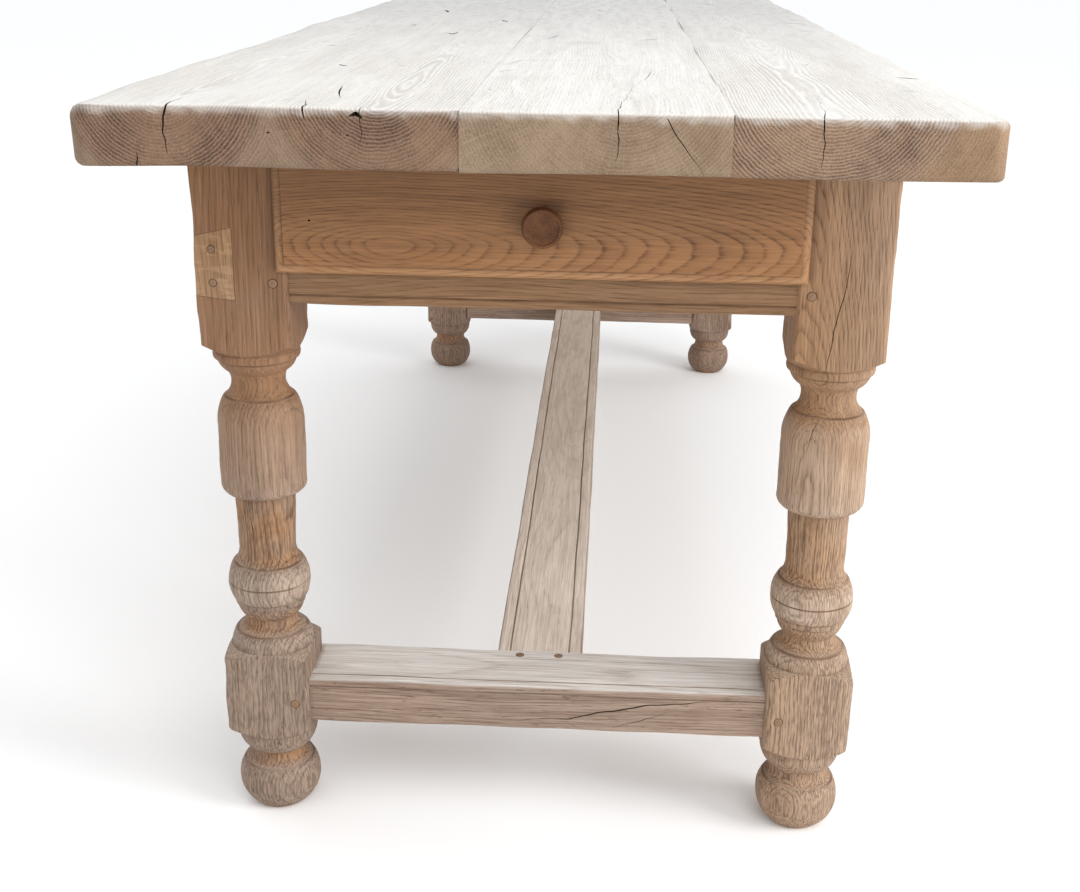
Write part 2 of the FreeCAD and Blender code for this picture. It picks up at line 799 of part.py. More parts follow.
def buttons():
    """Buttons along the side aprons, and one on each cross rail for the middle plank."""
    pairs = []
    for side, across in SIDES.items():
        for number, share in enumerate(BUTTON_SHARES):
            name = f"button_{side}_{number}"
            x = apron_inner_x * across
            pairs.append(button(name, f"side_apron_{side}", side, x, inner_y * share, X, across))
    middle_x = (left_joint_x + right_joint_x) / 2
    for end, along in ENDS.items():
        y = cross_inner_y * -along
        pairs.append(button(f"button_{end}", f"cross_rail_{end}", "middle", middle_x, y, Y, along))
    nodes.append(group("top_buttons", [piece for piece, _ in pairs]))
    nodes.append(group("button_screws", [screw for _, screw in pairs]))


def tongues():
    """Loose tongues in stopped grooves between the planks."""
    for name, joint_x, planks in (
        ("left", left_joint_x, ("left", "middle")),
        ("right", right_joint_x, ("middle", "right")),
    ):
        centre = (joint_x, ZERO, frame_top + size.top_thickness / 2)
        extent = (size.tongue_width, size.top_length - size.tongue_setback * 2, size.tongue_thickness)
        nodes.append(block(f"top_tongue_{name}", centre, extent))
        loose = [length + size.fit_clearance * 2 for length in extent]
        groove = block(f"top_groove_{name}", centre, loose)
        for plank in planks:
            plank_cuts[plank].append(groove)


def plank(name, low, high, joints):
    """One board of the top: its outer edges are rounded and its joint edges stay square."""
    body = new_body(f"top_plank_{name}_board")
    end = size.top_length / 2
    rows = rectangle(low, -end, high, end)
    sketch = outline(body, f"top_plank_{name}_plan", "XY_Plane", rows)
    last = pad(body, f"top_plank_{name}_height", sketch, size.top_thickness)
    place(body, ZERO, ZERO, frame_top)

    def at_joint(box):
        return any(abs(box.XMin - x.number) < SAME and abs(box.XMax - x.number) < SAME for x in joints)

    def corner(box):
        return stands_upright(box) and not at_joint(box)

    def upper(box):
        return box.ZMin > size.top_thickness.number - SAME and not at_joint(box)

    def lower(box):
        return box.ZMax < SAME and not at_joint(box)

    if len(joints) == 1:
        last = round_edges(body, f"top_plank_{name}_corners", last, size.top_corner_round, corner)
    last = round_edges(body, f"top_plank_{name}_upper", last, size.top_upper_round, upper)
    round_edges(body, f"top_plank_{name}_lower", last, size.top_lower_round, lower)
    nodes.append(cut(f"top_plank_{name}", body, plank_cuts[name]))


def planks():
    """The three boards of the top."""
    plank("left", -half_top, left_joint_x, [left_joint_x])
    plank("middle", left_joint_x, right_joint_x, [left_joint_x, right_joint_x])
    plank("right", right_joint_x, half_top, [right_joint_x])


def drawer_front_blank():
    """Front board: a lip with a rounded edge, and the thicker part that enters between the legs."""
    body = new_body("drawer_front_board")
    rows = rectangle(-lip_x, lip_bottom, lip_x, drawer_top)
    sketch = outline(body, "drawer_lip_outline", "XZ_Plane", rows)
    lip = pad(body, "drawer_lip", sketch, size.drawer_lip_thickness)
    front = -size.drawer_lip_thickness.number

    def at_front(box):
        return box.YMax < front + SAME

    round_edges(body, "drawer_lip_edges", lip, size.drawer_lip_round, at_front)
    rows = rectangle(-drawer_x, drawer_bottom, drawer_x, drawer_top)
    sketch = outline(body, "drawer_plug_outline", "XZ_Plane", rows)
    depth = size.drawer_front_thickness - size.drawer_lip_thickness
    pad(body, "drawer_plug", sketch, depth, reverse=True)
    place(body, ZERO, lip_back_y, ZERO)
    return body


def drawer_quirk():
    """Line cut round the face of the drawer's front, inside its edge."""
    ring = []
    outer = size.drawer_quirk_inset
    for name, inset in (("outer", outer), ("inner", outer + size.quirk_width)):
        low = (inset - lip_x, lip_front_y - size.overrun, lip_bottom + inset)
        high = (lip_x - inset, lip_front_y + size.quirk_depth, drawer_top - inset)
        ring.append(span_block(f"drawer_quirk_{name}", low, high))
    return cut("drawer_quirk", ring[0], ring[1:])


def drawer_side_board(side, across):
    """Side of the drawer with its dovetails, before its grooves."""
    body = new_body(f"drawer_side_{side}_board")
    tip_y = front_rear_y - size.dovetail_length
    pitch = (drawer_top - drawer_bottom) / DOVETAIL_COUNT
    base = size.dovetail_width / 2
    tip = base + size.dovetail_flare
    points = [(front_rear_y, drawer_bottom)]
    for number in range(DOVETAIL_COUNT):
        middle = drawer_bottom + pitch * (number + 0.5)
        points += [(front_rear_y, middle - base), (tip_y, middle - tip)]
        points += [(tip_y, middle + tip), (front_rear_y, middle + base)]
    points += [(front_rear_y, drawer_top), (drawer_end_y, drawer_top), (drawer_end_y, drawer_bottom)]
    sketch = outline(body, f"drawer_side_{side}_outline", "YZ_Plane", corners(*points))
    pad(body, f"drawer_side_{side}_thickness", sketch, size.drawer_side_thickness)
    place(body, drawer_inside_x if across > 0 else -drawer_x, ZERO, ZERO)
    return body


def drawer_knob():
    """Turned knob with the spigot that goes through the drawer's front; returns the spigot's hole."""
    body = new_body("drawer_knob")
    depth = size.drawer_front_thickness
    radius = size.knob_spigot_radius
    rows = corners((ZERO, -depth), (radius, -depth), (radius, ZERO))
    rows += [tuple((size.knob_radius * r, size.knob_length * up) for r, up in row) for row in KNOB_SHARES]
    turn(body, "Revolution", "drawer_knob_turning", outline(body, "drawer_knob_outline", "XZ_Plane", rows))
    body.Placement = Placement(Vector(), UPRIGHT[Y, -1])
    centre_z = rail_top + size.knob_rise
    place(body, size.knob_offset, lip_front_y, centre_z)
    nodes.append(body)
    start = (size.knob_offset, lip_front_y - size.overrun, centre_z)
    length = depth + size.overrun * 2
    return rod("drawer_knob_hole", start, Y, 1, radius + size.peg_clearance, length)


def drawer():
    """The sliding drawer: dovetailed box, boards in grooves, lipped front and knob."""
    board_low = drawer_bottom + size.drawer_board_rise
    board_high = board_low + size.drawer_board_thickness
    back_rear_y = drawer_end_y - size.drawer_back_inset
    back_front_y = back_rear_y - size.drawer_back_thickness
    groove_x = drawer_inside_x + size.drawer_groove_depth
    groove_y = front_rear_y - size.drawer_groove_depth
    fit = size.fit_clearance
    groove_end = (groove_x, drawer_end_y + size.overrun, board_high + fit)
    groove = span_block("drawer_board_groove", (-groove_x, groove_y, board_low - fit), groove_end)
    dado_x = drawer_inside_x + size.drawer_dado_depth
    dado_end = (dado_x, back_rear_y + fit, drawer_top + size.overrun)
    dado = span_block("drawer_back_dado", (-dado_x, back_front_y - fit, board_high), dado_end)
    sides = {side: drawer_side_board(side, across) for side, across in SIDES.items()}
    for side, board in sides.items():
        nodes.append(cut(f"drawer_side_{side}", board, [groove, dado]))
    front_cuts = [*sides.values(), groove, drawer_quirk(), drawer_knob()]
    nodes.append(cut("drawer_front", drawer_front_blank(), front_cuts))

    nails = []
    holes = []
    nail_y = (back_front_y + back_rear_y) / 2
    for number, share in enumerate(NAIL_SHARES):
        start = (drawer_inside_x * (share * 2 - 1), nail_y, board_low)
        nail, hole = headed_nail(f"drawer_nail_{number}", start, 1, size.bottom_nail_length)
        nails.append(nail)
        holes.append(hole)
    back_high = (dado_x - fit, back_rear_y, drawer_top - size.drawer_back_drop)
    back = span_block("drawer_back_board", (fit - dado_x, back_front_y, board_high), back_high)
    nodes.append(cut("drawer_back", back, holes))
    start_y = groove_y + fit
    step = (back_rear_y - start_y) / len(BOARD_NAMES)
    for number, name in enumerate(BOARD_NAMES):
        low = (fit - groove_x, start_y + step * number, board_low)
        high = (groove_x - fit, start_y + step * (number + 1), board_high)
        if name == BOARD_NAMES[-1]:
            whole = span_block(f"drawer_board_{name}_whole", low, high)
            nodes.append(cut(f"drawer_board_{name}", whole, holes))
        else:
            nodes.append(span_block(f"drawer_board_{name}", low, high))
    nodes.append(group("drawer_bottom_nails", nails))


def leg_patch(turned):
    """Old repair let into the outer front edge of the left front leg, held by two pegs."""
    body = new_body("leg_patch_prism")
    outer_low = size.patch_rise + size.patch_slant
    rows = corners(
        (-size.overrun, outer_low),
        (size.patch_width, size.patch_rise),
        (size.patch_width, size.patch_rise + size.patch_inner_height),
        (-size.overrun, outer_low + size.patch_outer_height),
    )
    depth = size.patch_depth + size.overrun
    pad(body, "leg_patch_depth", outline(body, "leg_patch_outline", "XZ_Plane", rows), depth, reverse=True)
    place(body, -outer_x, -outer_y - size.overrun, apron_bottom)
    let_in = doc.addObject("Part::Common", "leg_patch_block")
    let_in.Base = turned
    let_in.Tool = body
    pegs = []
    holes = []
    for number in range(PATCH_PEG_COUNT):
        height = apron_bottom + size.patch_peg_low + size.patch_peg_spacing * number
        start = (size.patch_peg_inset - outer_x, -outer_y, height)
        length = size.patch_peg_length
        pin, hole = peg_and_hole(f"patch_peg_{number}", start, Y, 1, size.patch_peg_radius, length)
        pegs.append(pin)
        holes.append(hole)
    nodes.append(cut("leg_patch", let_in, holes))
    nodes.append(group("patch_pegs", pegs))
    leg_cuts["left", "front"] += [body, *holes]


def legs():
    """The four legs with their mortises and peg holes."""
    master = turned_leg()
    for side, across in SIDES.items():
        for end, along in ENDS.items():
            turned = group(f"leg_{end}_{side}_turned", [master])
            place(turned, leg_x * across, leg_y * along, ZERO)
            if (side, end) == ("left", "front"):
                leg_patch(turned)
            nodes.append(cut(f"leg_{end}_{side}", turned, leg_cuts[side, end]))


def write_parts():
    """Checks every object and writes one file for each piece."""
    doc.recompute()
    failed = [thing.Name for thing in doc.Objects if {"Invalid", "Error"} & set(thing.State)]
    if failed:
        raise RuntimeError(f"failed: {failed}")
    for node in nodes:
        if node.Shape.isNull() or not node.Shape.isValid():
            raise RuntimeError(f"bad shape: {node.Label}")
    os.makedirs("parts", exist_ok=True)
    for node in nodes:
        node.Shape.exportStep(f"parts/{node.Label}.step")
        print(node.Label, len(node.Shape.Solids), round(node.Shape.Volume))


aprons_and_rail()
cross_rails()
stretchers()
runners()
buttons()
for name, blank in rail_blanks.items():
    nodes.append(cut(name, blank, rail_cuts[name]))
tongues()
planks()
drawer()
legs()
write_parts()
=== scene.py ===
"""Oak refectory table with a scrubbed plank top, turned legs, beaded stretchers and a lipped end drawer.

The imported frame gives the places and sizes. Each sub-assembly is a class that models its pieces in the
frame's own metres and dresses them in procedural oak, which is aged by the curvature of each mesh.
"""

import json
import logging
import math
from collections.abc import Sequence
from dataclasses import dataclass, replace
from enum import Enum
from functools import cache

import bmesh
import bpy
import numpy as np
from mathutils import Matrix, Vector

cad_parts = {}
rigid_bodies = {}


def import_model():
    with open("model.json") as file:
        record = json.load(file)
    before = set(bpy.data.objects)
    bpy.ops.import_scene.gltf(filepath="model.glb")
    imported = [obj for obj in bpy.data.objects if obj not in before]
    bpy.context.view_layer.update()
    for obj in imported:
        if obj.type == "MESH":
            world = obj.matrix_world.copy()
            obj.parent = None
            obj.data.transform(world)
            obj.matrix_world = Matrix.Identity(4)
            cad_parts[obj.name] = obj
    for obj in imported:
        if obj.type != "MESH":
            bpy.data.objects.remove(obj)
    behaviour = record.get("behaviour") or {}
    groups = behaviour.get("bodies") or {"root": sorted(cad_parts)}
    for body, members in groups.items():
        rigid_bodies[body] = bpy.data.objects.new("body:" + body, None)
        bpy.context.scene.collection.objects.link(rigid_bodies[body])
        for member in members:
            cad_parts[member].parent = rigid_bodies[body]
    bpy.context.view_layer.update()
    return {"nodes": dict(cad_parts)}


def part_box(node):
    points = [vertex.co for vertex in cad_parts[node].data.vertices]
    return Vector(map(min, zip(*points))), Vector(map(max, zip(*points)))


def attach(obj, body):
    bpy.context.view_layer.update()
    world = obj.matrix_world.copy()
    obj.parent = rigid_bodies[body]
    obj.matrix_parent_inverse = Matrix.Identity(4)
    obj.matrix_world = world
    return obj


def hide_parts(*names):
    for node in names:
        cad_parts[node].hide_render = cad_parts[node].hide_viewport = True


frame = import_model()
LOG = logging.getLogger("refectory_table")

MM = 0.001
WELD = 1e-6
NO_LENGTH = 1e-14
SHARP_ANGLE = math.radians(38)
NEAR_END = -1.02
TOP_LEVEL = 0.77

Colour = tuple[float, float, float]
Point = tuple[float, float, float]
Corner = tuple[float, float, float]
Turning = tuple[tuple[tuple[float, float], ...], ...]
Socket = bpy.types.NodeSocket
Value = Socket | float
Feed = Value | Colour | str


class Axis(Enum):
    """Direction of a length or of the grain."""

    X = 0
    Y = 1
    Z = 2

    def order(self) -> tuple[int, int, int]:
        """Gives the coordinates along the grain, across it and in depth."""
        return ((0, 2, 1), (1, 0, 2), (2, 0, 1))[self.value]


class Body(Enum):
    """Moving bodies of the frame."""

    TABLE = "table"
    DRAWER = "drawer"


class Slot(Enum):
    """Material slots of the record."""

    TOP = "oak_top"
    FRAME = "oak_frame"
    STRETCHER = "oak_stretcher"
    PATCH = "oak_patch"
    DRAWER = "oak_drawer"
    KNOB = "oak_knob"
    PEG = "oak_peg"


# Mesh work shared by all pieces


def ease(values: np.ndarray, low: float, high: float) -> np.ndarray:
    """Rises smoothly from 0 at the low value to 1 at the high one."""
    share = np.clip((values - low) / (high - low), 0.0, 1.0)
    return share * share * (3.0 - 2.0 * share)


@dataclass(frozen=True)
class Wobble:
    """Hand-made unevenness, as a seeded sum of plane waves."""

    seed: int
    height: float
    reach: float
    waves: int = 16

    def at(self, points: np.ndarray) -> np.ndarray:
        """Gives the unevenness at some points.

        Args:
            points: Points, as an array whose last axis has three coordinates.

        Returns:
            One height for each point.
        """
        draw = np.random.default_rng(self.seed)
        ways = draw.normal(size=(self.waves, 3))
        ways /= np.linalg.norm(ways, axis=1, keepdims=True)
        lengths = self.reach * draw.uniform(0.6, 1.9, self.waves)
        phases = draw.uniform(0.0, math.tau, self.waves)
        swings = np.sin(points @ (ways / lengths[:, None]).T * math.tau + phases)
        return swings.sum(axis=-1) * self.height / math.sqrt(self.waves / 2)


def numbers(
    items: bpy.types.bpy_prop_collection, name: str, width: int = 1, kind: type = np.float32
) -> np.ndarray:
    """Reads one property of many mesh items.

    Args:
        items: Points, edges, corners, faces or attribute values.
        name: Property to read.
        width: Numbers in each value.
        kind: Type of the numbers.

    Returns:
        One row for each item, or one number if the width is 1.
    """
    found = np.empty(len(items) * width, dtype=kind)
    items.foreach_get(name, found)
    return found.reshape(-1, width) if width > 1 else found


def loft(rows: np.ndarray) -> tuple[np.ndarray, list[list[int]]]:
    """Joins closed outlines into a capped skin.

    Args:
        rows: Outlines in order, as an array of rows, points and coordinates.

    Returns:
        The points and the faces of the skin.
    """
    count, size = rows.shape[:2]
    starts = np.arange(count - 1)[:, None] * size
    here = starts + np.arange(size)
    there = starts + (np.arange(size) + 1) % size
    faces = np.stack([here, there, there + size, here + size], axis=-1).reshape(-1, 4).tolist()
    faces.append(list(range(size))[::-1])
    faces.append(list(range((count - 1) * size, count * size)))
    return rows.reshape(-1, 3), faces


def put(name: str, data: bpy.types.ID) -> bpy.types.Object:
    """Links a new object to the scene.

    Args:
        name: Name of the object.
        data: Mesh, light or camera that it holds.

    Returns:
        The object.
    """
    thing = bpy.data.objects.new(name, data)
    bpy.context.scene.collection.objects.link(thing)
    return thing


def longest(sides: Vector) -> int:
    """Gives the number of the longest side."""
    return max(range(3), key=lambda number: sides[number])


def model(name: str, points: np.ndarray, faces: list[list[int]]) -> bpy.types.Object:
    """Makes an object with outward faces.

    Args:
        name: Name of the object.
        points: Points of its mesh.
        faces: Point numbers of each face.

    Returns:
        The new object, linked to the scene.
    """
    mesh = bpy.data.meshes.new(name)
    mesh.from_pydata(points.tolist(), [], faces)
    shell = bmesh.new()
    shell.from_mesh(mesh)
    caps = [face for face in shell.faces if len(face.verts) > 4]
    bmesh.ops.triangulate(shell, faces=caps, ngon_method="BEAUTY")
    bmesh.ops.recalc_face_normals(shell, faces=shell.faces)
    shell.to_mesh(mesh)
    shell.free()
    return put(name, mesh)


def settle(piece: bpy.types.Object) -> None:
    """Turns a piece and its modifiers into a plain mesh.

    Args:
        piece: Object to settle.
    """
    shaped = piece.evaluated_get(bpy.context.evaluated_depsgraph_get())
    mesh = bpy.data.meshes.new_from_object(shaped)
    piece.modifiers.clear()
    spare = piece.data
    piece.data = mesh
    bpy.data.meshes.remove(spare)
    mesh.name = piece.name


def cut(piece: bpy.types.Object, tools: Sequence[bpy.types.Object], keep_inside: bool = False) -> None:
    """Cuts tools out of a piece, or keeps only what lies inside them, and deletes the tools.

    Args:
        piece: Closed object to cut.
        tools: Closed objects to cut with.
        keep_inside: Whether the part inside the tools is kept.
    """
    for mesh in [piece.data] + [tool.data for tool in tools]:
        while len(mesh.materials) < 2:
            mesh.materials.append(None)
    for tool in tools:
        modifier = piece.modifiers.new("cut", "BOOLEAN")
        modifier.object = tool
        modifier.operation = "INTERSECT" if keep_inside else "DIFFERENCE"
        modifier.solver = "MANIFOLD"
    before = len(piece.data.vertices)
    settle(piece)
    if tools and len(piece.data.vertices) == before:
        LOG.warning("%s: a cut changed nothing", piece.name)
    for tool in tools:
        spare = tool.data
        bpy.data.objects.remove(tool)
        bpy.data.meshes.remove(spare)


def opening(points: np.ndarray, faces: list[list[int]]) -> bpy.types.Object:
    """Makes a cutting tool whose walls stay marked as open wood.

    Args:
        points: Points of its mesh.
        faces: Point numbers of each face.

    Returns:
        The tool.
    """
    tool = model("opening", points, faces)
    tool.data.polygons.foreach_set("material_index", np.ones(len(tool.data.polygons), dtype=np.int32))
    return tool


def merged(node: str) -> bmesh.types.BMesh:
    """Reads a node of the frame with its loose triangles joined.

    Args:
        node: Name of the node.

    Returns:
        The joined mesh, which the caller frees.
    """
    shell = bmesh.new()
    shell.from_mesh(bpy.data.objects[node].data)
    bmesh.ops.remove_doubles(shell, verts=shell.verts, dist=WELD)
    return shell


def node_copy(node: str) -> bpy.types.Object:
    """Copies a node of the frame as one closed mesh.

    Args:
        node: Name of the node.

    Returns:
        The copy, for use as a cutting tool.
    """
    mesh = bpy.data.meshes.new("copy_of_" + node)
    shell = merged(node)
    shell.to_mesh(mesh)
    shell.free()
    return put(mesh.name, mesh)


@cache
def solids_of(node: str) -> list[tuple[Vector, Vector]]:
    """Finds the separate solids of a node.

    Args:
        node: Name of the node.

    Returns:
        The lowest and highest corner of each solid, in a fixed order.
    """
    shell = merged(node)
    left = set(shell.verts)
    boxes = []
    while left:
        edge = [left.pop()]
        group = list(edge)
        while edge:
            for link in edge.pop().link_edges:
                fresh = [vertex for vertex in link.verts if vertex in left]
                left.difference_update(fresh)
                edge.extend(fresh)
                group.extend(fresh)
        places = np.array([vertex.co for vertex in group])
        boxes.append((Vector(places.min(axis=0)), Vector(places.max(axis=0))))
    shell.free()
    return sorted(boxes, key=lambda box: tuple(round(value, 4) for value in box[0]))


def arc(start: Sequence[float], middle: Sequence[float], end: Sequence[float], step: float) -> np.ndarray:
    """Follows the arc through three points.

    Args:
        start: First point, which is left out of the result.
        middle: A point on the way.
        end: Last point.
        step: Distance between points.

    Returns:
        Points along the arc.
    """
    (ax, ay), (bx, by), (cx, cy) = start, middle, end
    twice = 2 * (ax * (by - cy) + bx * (cy - ay) + cx * (ay - by))
    a2, b2, c2 = ax * ax + ay * ay, bx * bx + by * by, cx * cx + cy * cy
    centre_x = (a2 * (by - cy) + b2 * (cy - ay) + c2 * (ay - by)) / twice
    centre_y = (a2 * (cx - bx) + b2 * (ax - cx) + c2 * (bx - ax)) / twice
    first = math.atan2(ay - centre_y, ax - centre_x)
    halfway = (math.atan2(by - centre_y, bx - centre_x) - first) % math.tau
    span = (math.atan2(cy - centre_y, cx - centre_x) - first) % math.tau
    if halfway > span:
        span -= math.tau
    radius = math.hypot(ax - centre_x, ay - centre_y)
    count = max(3, math.ceil(abs(span) * radius / step))
    angles = first + span * np.arange(1, count + 1) / count
    return np.stack([centre_x + radius * np.cos(angles), centre_y + radius * np.sin(angles)], axis=1)


def run(start: Sequence[float], end: Sequence[float], step: float) -> np.ndarray:
    """Follows a straight line.

    Args:
        start: First point, which is left out of the result.
        end: Last point.
        step: Distance between points.

    Returns:
        Points along the line.
    """
    count = max(1, math.ceil(math.dist(start, end) / step))
    shares = (np.arange(1, count + 1) / count)[:, None]
    return np.asarray(start) + (np.asarray(end) - np.asarray(start)) * shares


def turned(shares: Turning, radius: float, base: float, length: float, step: float) -> np.ndarray:
    """Follows a turned outline given as shares of its radius and length.

    Args:
        shares: Rows with an end point, and before it a point on the way where the row is an arc.
        radius: Radius that a share of 1 stands for.
        base: Height that a share of 0 stands for.
        length: Length that a share of 1 stands for.
        step: Distance between points.

    Returns:
        Radius and height of each point.
    """
    scaled = [[(radius * r, base + length * z) for r, z in row] for row in shares]
    parts = [np.array([scaled[0][-1]])]
    for row in scaled[1:]:
        start = tuple(parts[-1][-1])
        parts.append(run(start, row[0], step) if len(row) == 1 else arc(start, row[0], row[1], step))
    return np.concatenate(parts)


@dataclass(frozen=True)
class Section:
    """Closed section of a plank or a beam, with rounded corners."""

    corners: tuple[Corner, ...]
    flat_step: float = 11 * MM
    round_points: int = 5
    largest_share: float = 0.46

    def outline(self, swell: float) -> np.ndarray:
        """Draws the section.

        Args:
            swell: Factor on the corner rounds, for uneven wear.

        Returns:
            Points of the outline, always the same number.
        """
        places = [np.array(corner[:2]) for corner in self.corners]
        joints = []
        for index, (_, _, size) in enumerate(self.corners):
            here, last, after = places[index], places[index - 1], places[(index + 1) % len(places)]
            back, ahead = last - here, after - here
            back_length, ahead_length = np.linalg.norm(back), np.linalg.norm(ahead)
            back, ahead = back / back_length, ahead / ahead_length
            half = 0.5 * math.acos(max(-1.0, min(1.0, float(back @ ahead))))
            most = self.largest_share
            reach = min(size * swell / math.tan(half), most * back_length, most * ahead_length)
            spread = reach * math.tan(half)
            centre = here + (back + ahead) / np.linalg.norm(back + ahead) * math.hypot(reach, spread)
            first, final = here + back * reach - centre, here + ahead * reach - centre
            blend = np.linspace(0.0, 1.0, self.round_points)[:, None]
            rays = first * (1 - blend) + final * blend
            joints.append(centre + rays / np.linalg.norm(rays, axis=1, keepdims=True) * spread)
        parts = []
        for index, joint in enumerate(joints):
            after = (index + 1) % len(joints)
            length = math.dist(self.corners[index][:2], self.corners[after][:2])
            count = max(1, round(length / self.flat_step))
            shares = (np.arange(1, count) / count)[:, None]
            parts.append(joint)
            parts.append(joint[-1] * (1 - shares) + joints[after][0] * shares)
        return np.concatenate(parts)


@dataclass(frozen=True)
class Split:
    """Drying split or slit: a wavy wedge that runs along a line and into the wood."""

    line: tuple[Point, ...]
    inward: Point
    widths: tuple[float, ...]
    depths: tuple[float, ...]
    seed: int
    wave: float = 0.8 * MM
    lift: float = 1.6 * MM
    thinnest: float = 0.02 * MM
    stations: int = 30
    levels: int = 15

    def blade(self) -> bpy.types.Object:
        """Builds the wedge that is cut out of the wood.

        Returns:
            The wedge as a closed object.
        """
        knots = np.array(self.line)
        reach = np.concatenate([[0.0], np.cumsum(np.linalg.norm(np.diff(knots, axis=0), axis=1))])
        places = np.linspace(0.0, reach[-1], self.stations)
        line = np.stack([np.interp(places, reach, knots[:, axis]) for axis in range(3)], axis=1)
        widths = np.interp(places, reach, self.widths)
        depths = np.interp(places, reach, self.depths)
        inward = np.array(self.inward) / np.linalg.norm(self.inward)
        side = np.cross(np.gradient(line, axis=0), inward)
        side /= np.linalg.norm(side, axis=1, keepdims=True)
        share = np.linspace(0.0, 1.0, self.levels)
        phases = np.random.default_rng(self.seed).uniform(0.0, math.tau, 3)
        rows = []
        for place, point, across, width, depth in zip(places, line, side, widths, depths):
            drop = share * (depth + self.lift) - self.lift
            sway = np.sin(drop / (5 * MM) + place / (9 * MM) + phases[0])
            sway += 0.7 * np.sin(drop / (11 * MM) - place / (23 * MM) + phases[1])
            sway += 0.5 * np.sin(drop / (1.9 * MM) + place / (4 * MM) + phases[2])
            half = 0.5 * width * (1 - share) ** 0.6 + self.thinnest
            middle = point + inward * drop[:, None] + across * (sway * self.wave)[:, None]
            right = middle + across * half[:, None]
            left = middle - across * half[:, None]
            rows.append(np.concatenate([right, left[::-1]]))
        return opening(*loft(np.array(rows)))


def pit(place: Point, inward: Point, size: float, seed: int) -> Split:
    """Describes a small hole, such as a worm or nail hole.

    Args:
        place: Its middle.
        inward: Direction into the wood.
        size: Width of the hole.
        seed: Seed of its waves.

    Returns:
        The hole as a short split.
    """
    line = tuple((place[0] + share * size, place[1], place[2]) for share in (-0.5, -0.3, 0.0, 0.3, 0.5))
    widths = tuple(share * size for share in (0.3, 0.8, 1.0, 0.8, 0.3))
    return Split(line, inward, widths, (3 * size,) * 5, seed, wave=0.05 * MM, stations=9)


@dataclass(frozen=True)
class Ageing:
    """How far a piece has worn, darkened and bleached, painted into its mesh."""

    wear: float = 1.0
    grime: float = 1.0
    top: float = 0.0
    side: float = 0.0
    rim: float = 0.0
    rim_levels: tuple[float, float] = (0.7615, 0.7695)
    rim_wave: Wobble = Wobble(3, 1.1 * MM, 0.014)
    looks_up: tuple[float, float] = (0.6, 0.97)
    looks_aside: tuple[float, float] = (0.85, 0.99)
    top_from: float = -1.0
    worn_curve: tuple[float, float] = (50.0, 330.0)
    dirty_curve: tuple[float, float] = (45.0, 420.0)
    shortest: float = 1 * MM
    sharpest: float = 1200.0

    def paint(self, piece: bpy.types.Object) -> None:
        """Writes wear on raised edges, grime in hollows, bleach on faces that look up, and open wood.

        Args:
            piece: Object with its final mesh.
        """
        mesh = piece.data
        count = len(mesh.vertices)
        places = numbers(mesh.vertices, "co", 3)
        opened = numbers(mesh.polygons, "material_index", kind=np.int32) > 0
        normals, skin = self.skin(mesh, opened)
        first, second = numbers(mesh.edges, "vertices", 2, np.int32).T
        kept = skin[first] & skin[second]
        first, second = first[kept], second[kept]
        gap = places[second] - places[first]
        bend = ((normals[second] - normals[first]) * gap).sum(axis=1)
        bend /= np.maximum((gap * gap).sum(axis=1), self.shortest ** 2)
        bend = np.clip(bend, -self.sharpest, self.sharpest)
        share = np.maximum(np.bincount(first, minlength=count) + np.bincount(second, minlength=count), 1)
        for _ in range(2):
            total = np.bincount(first, bend, count) + np.bincount(second, bend, count)
            curve = total / share
            bend = 0.5 * (curve[first] + curve[second])
        self.write(mesh, "wear", self.wear * ease(curve, *self.worn_curve))
        self.write(mesh, "grime", self.grime * ease(-curve, *self.dirty_curve))
        upward = self.top * ease(normals[:, 2], *self.looks_up)
        upward = upward * ease(places[:, 2], self.top_from, self.top_from + 2 * MM)
        outward = self.side * ease(np.abs(normals[:, 0]), *self.looks_aside)
        level = places[:, 2] + self.rim_wave.at(places)
        rubbed = self.rim * ease(level, *self.rim_levels)
        self.write(mesh, "bleach", np.maximum(np.maximum(upward, outward), rubbed))
        self.write(mesh, "split", opened, "FACE")

    @staticmethod
    def skin(mesh: bpy.types.Mesh, opened: np.ndarray) -> tuple[np.ndarray, np.ndarray]:
        """Works out the normals of the outer skin, as if it had no splits.

        Args:
            mesh: Mesh to read.
            opened: Which faces are walls of splits.

        Returns:
            The normal of each point, and which points lie on the skin.
        """
        owners = np.repeat(np.arange(len(opened)), numbers(mesh.polygons, "loop_total", kind=np.int32))
        corners = numbers(mesh.loops, "vertex_index", kind=np.int32)
        pulls = numbers(mesh.polygons, "normal", 3) * (numbers(mesh.polygons, "area") * ~opened)[:, None]
        sums = [np.bincount(corners, pulls[owners, axis], len(mesh.vertices)) for axis in range(3)]
        normals = np.stack(sums, axis=1)
        lengths = np.linalg.norm(normals, axis=1)
        skin = lengths > NO_LENGTH
        normals[skin] /= lengths[skin, None]
        return normals, skin

    @staticmethod
    def write(mesh: bpy.types.Mesh, name: str, values: np.ndarray, domain: str = "POINT") -> None:
        """Stores one number for each point or face.

        Args:
            mesh: Mesh to write to.
            name: Name of the attribute.
            values: The numbers.
            domain: What the numbers belong to.
        """
        if name in mesh.attributes:
            mesh.attributes.remove(mesh.attributes[name])
        layer = mesh.attributes.new(name, "FLOAT", domain)
        layer.data.foreach_set("value", np.ascontiguousarray(values, dtype=np.float32))

    @staticmethod
    def deepen(piece: bpy.types.Object, values: np.ndarray, name: str = "grime") -> None:
        """Raises a number painted on a piece where the piece has less of it."""
        stored = numbers(piece.data.attributes[name].data, "value")
        Ageing.write(piece.data, name, np.maximum(stored, values))


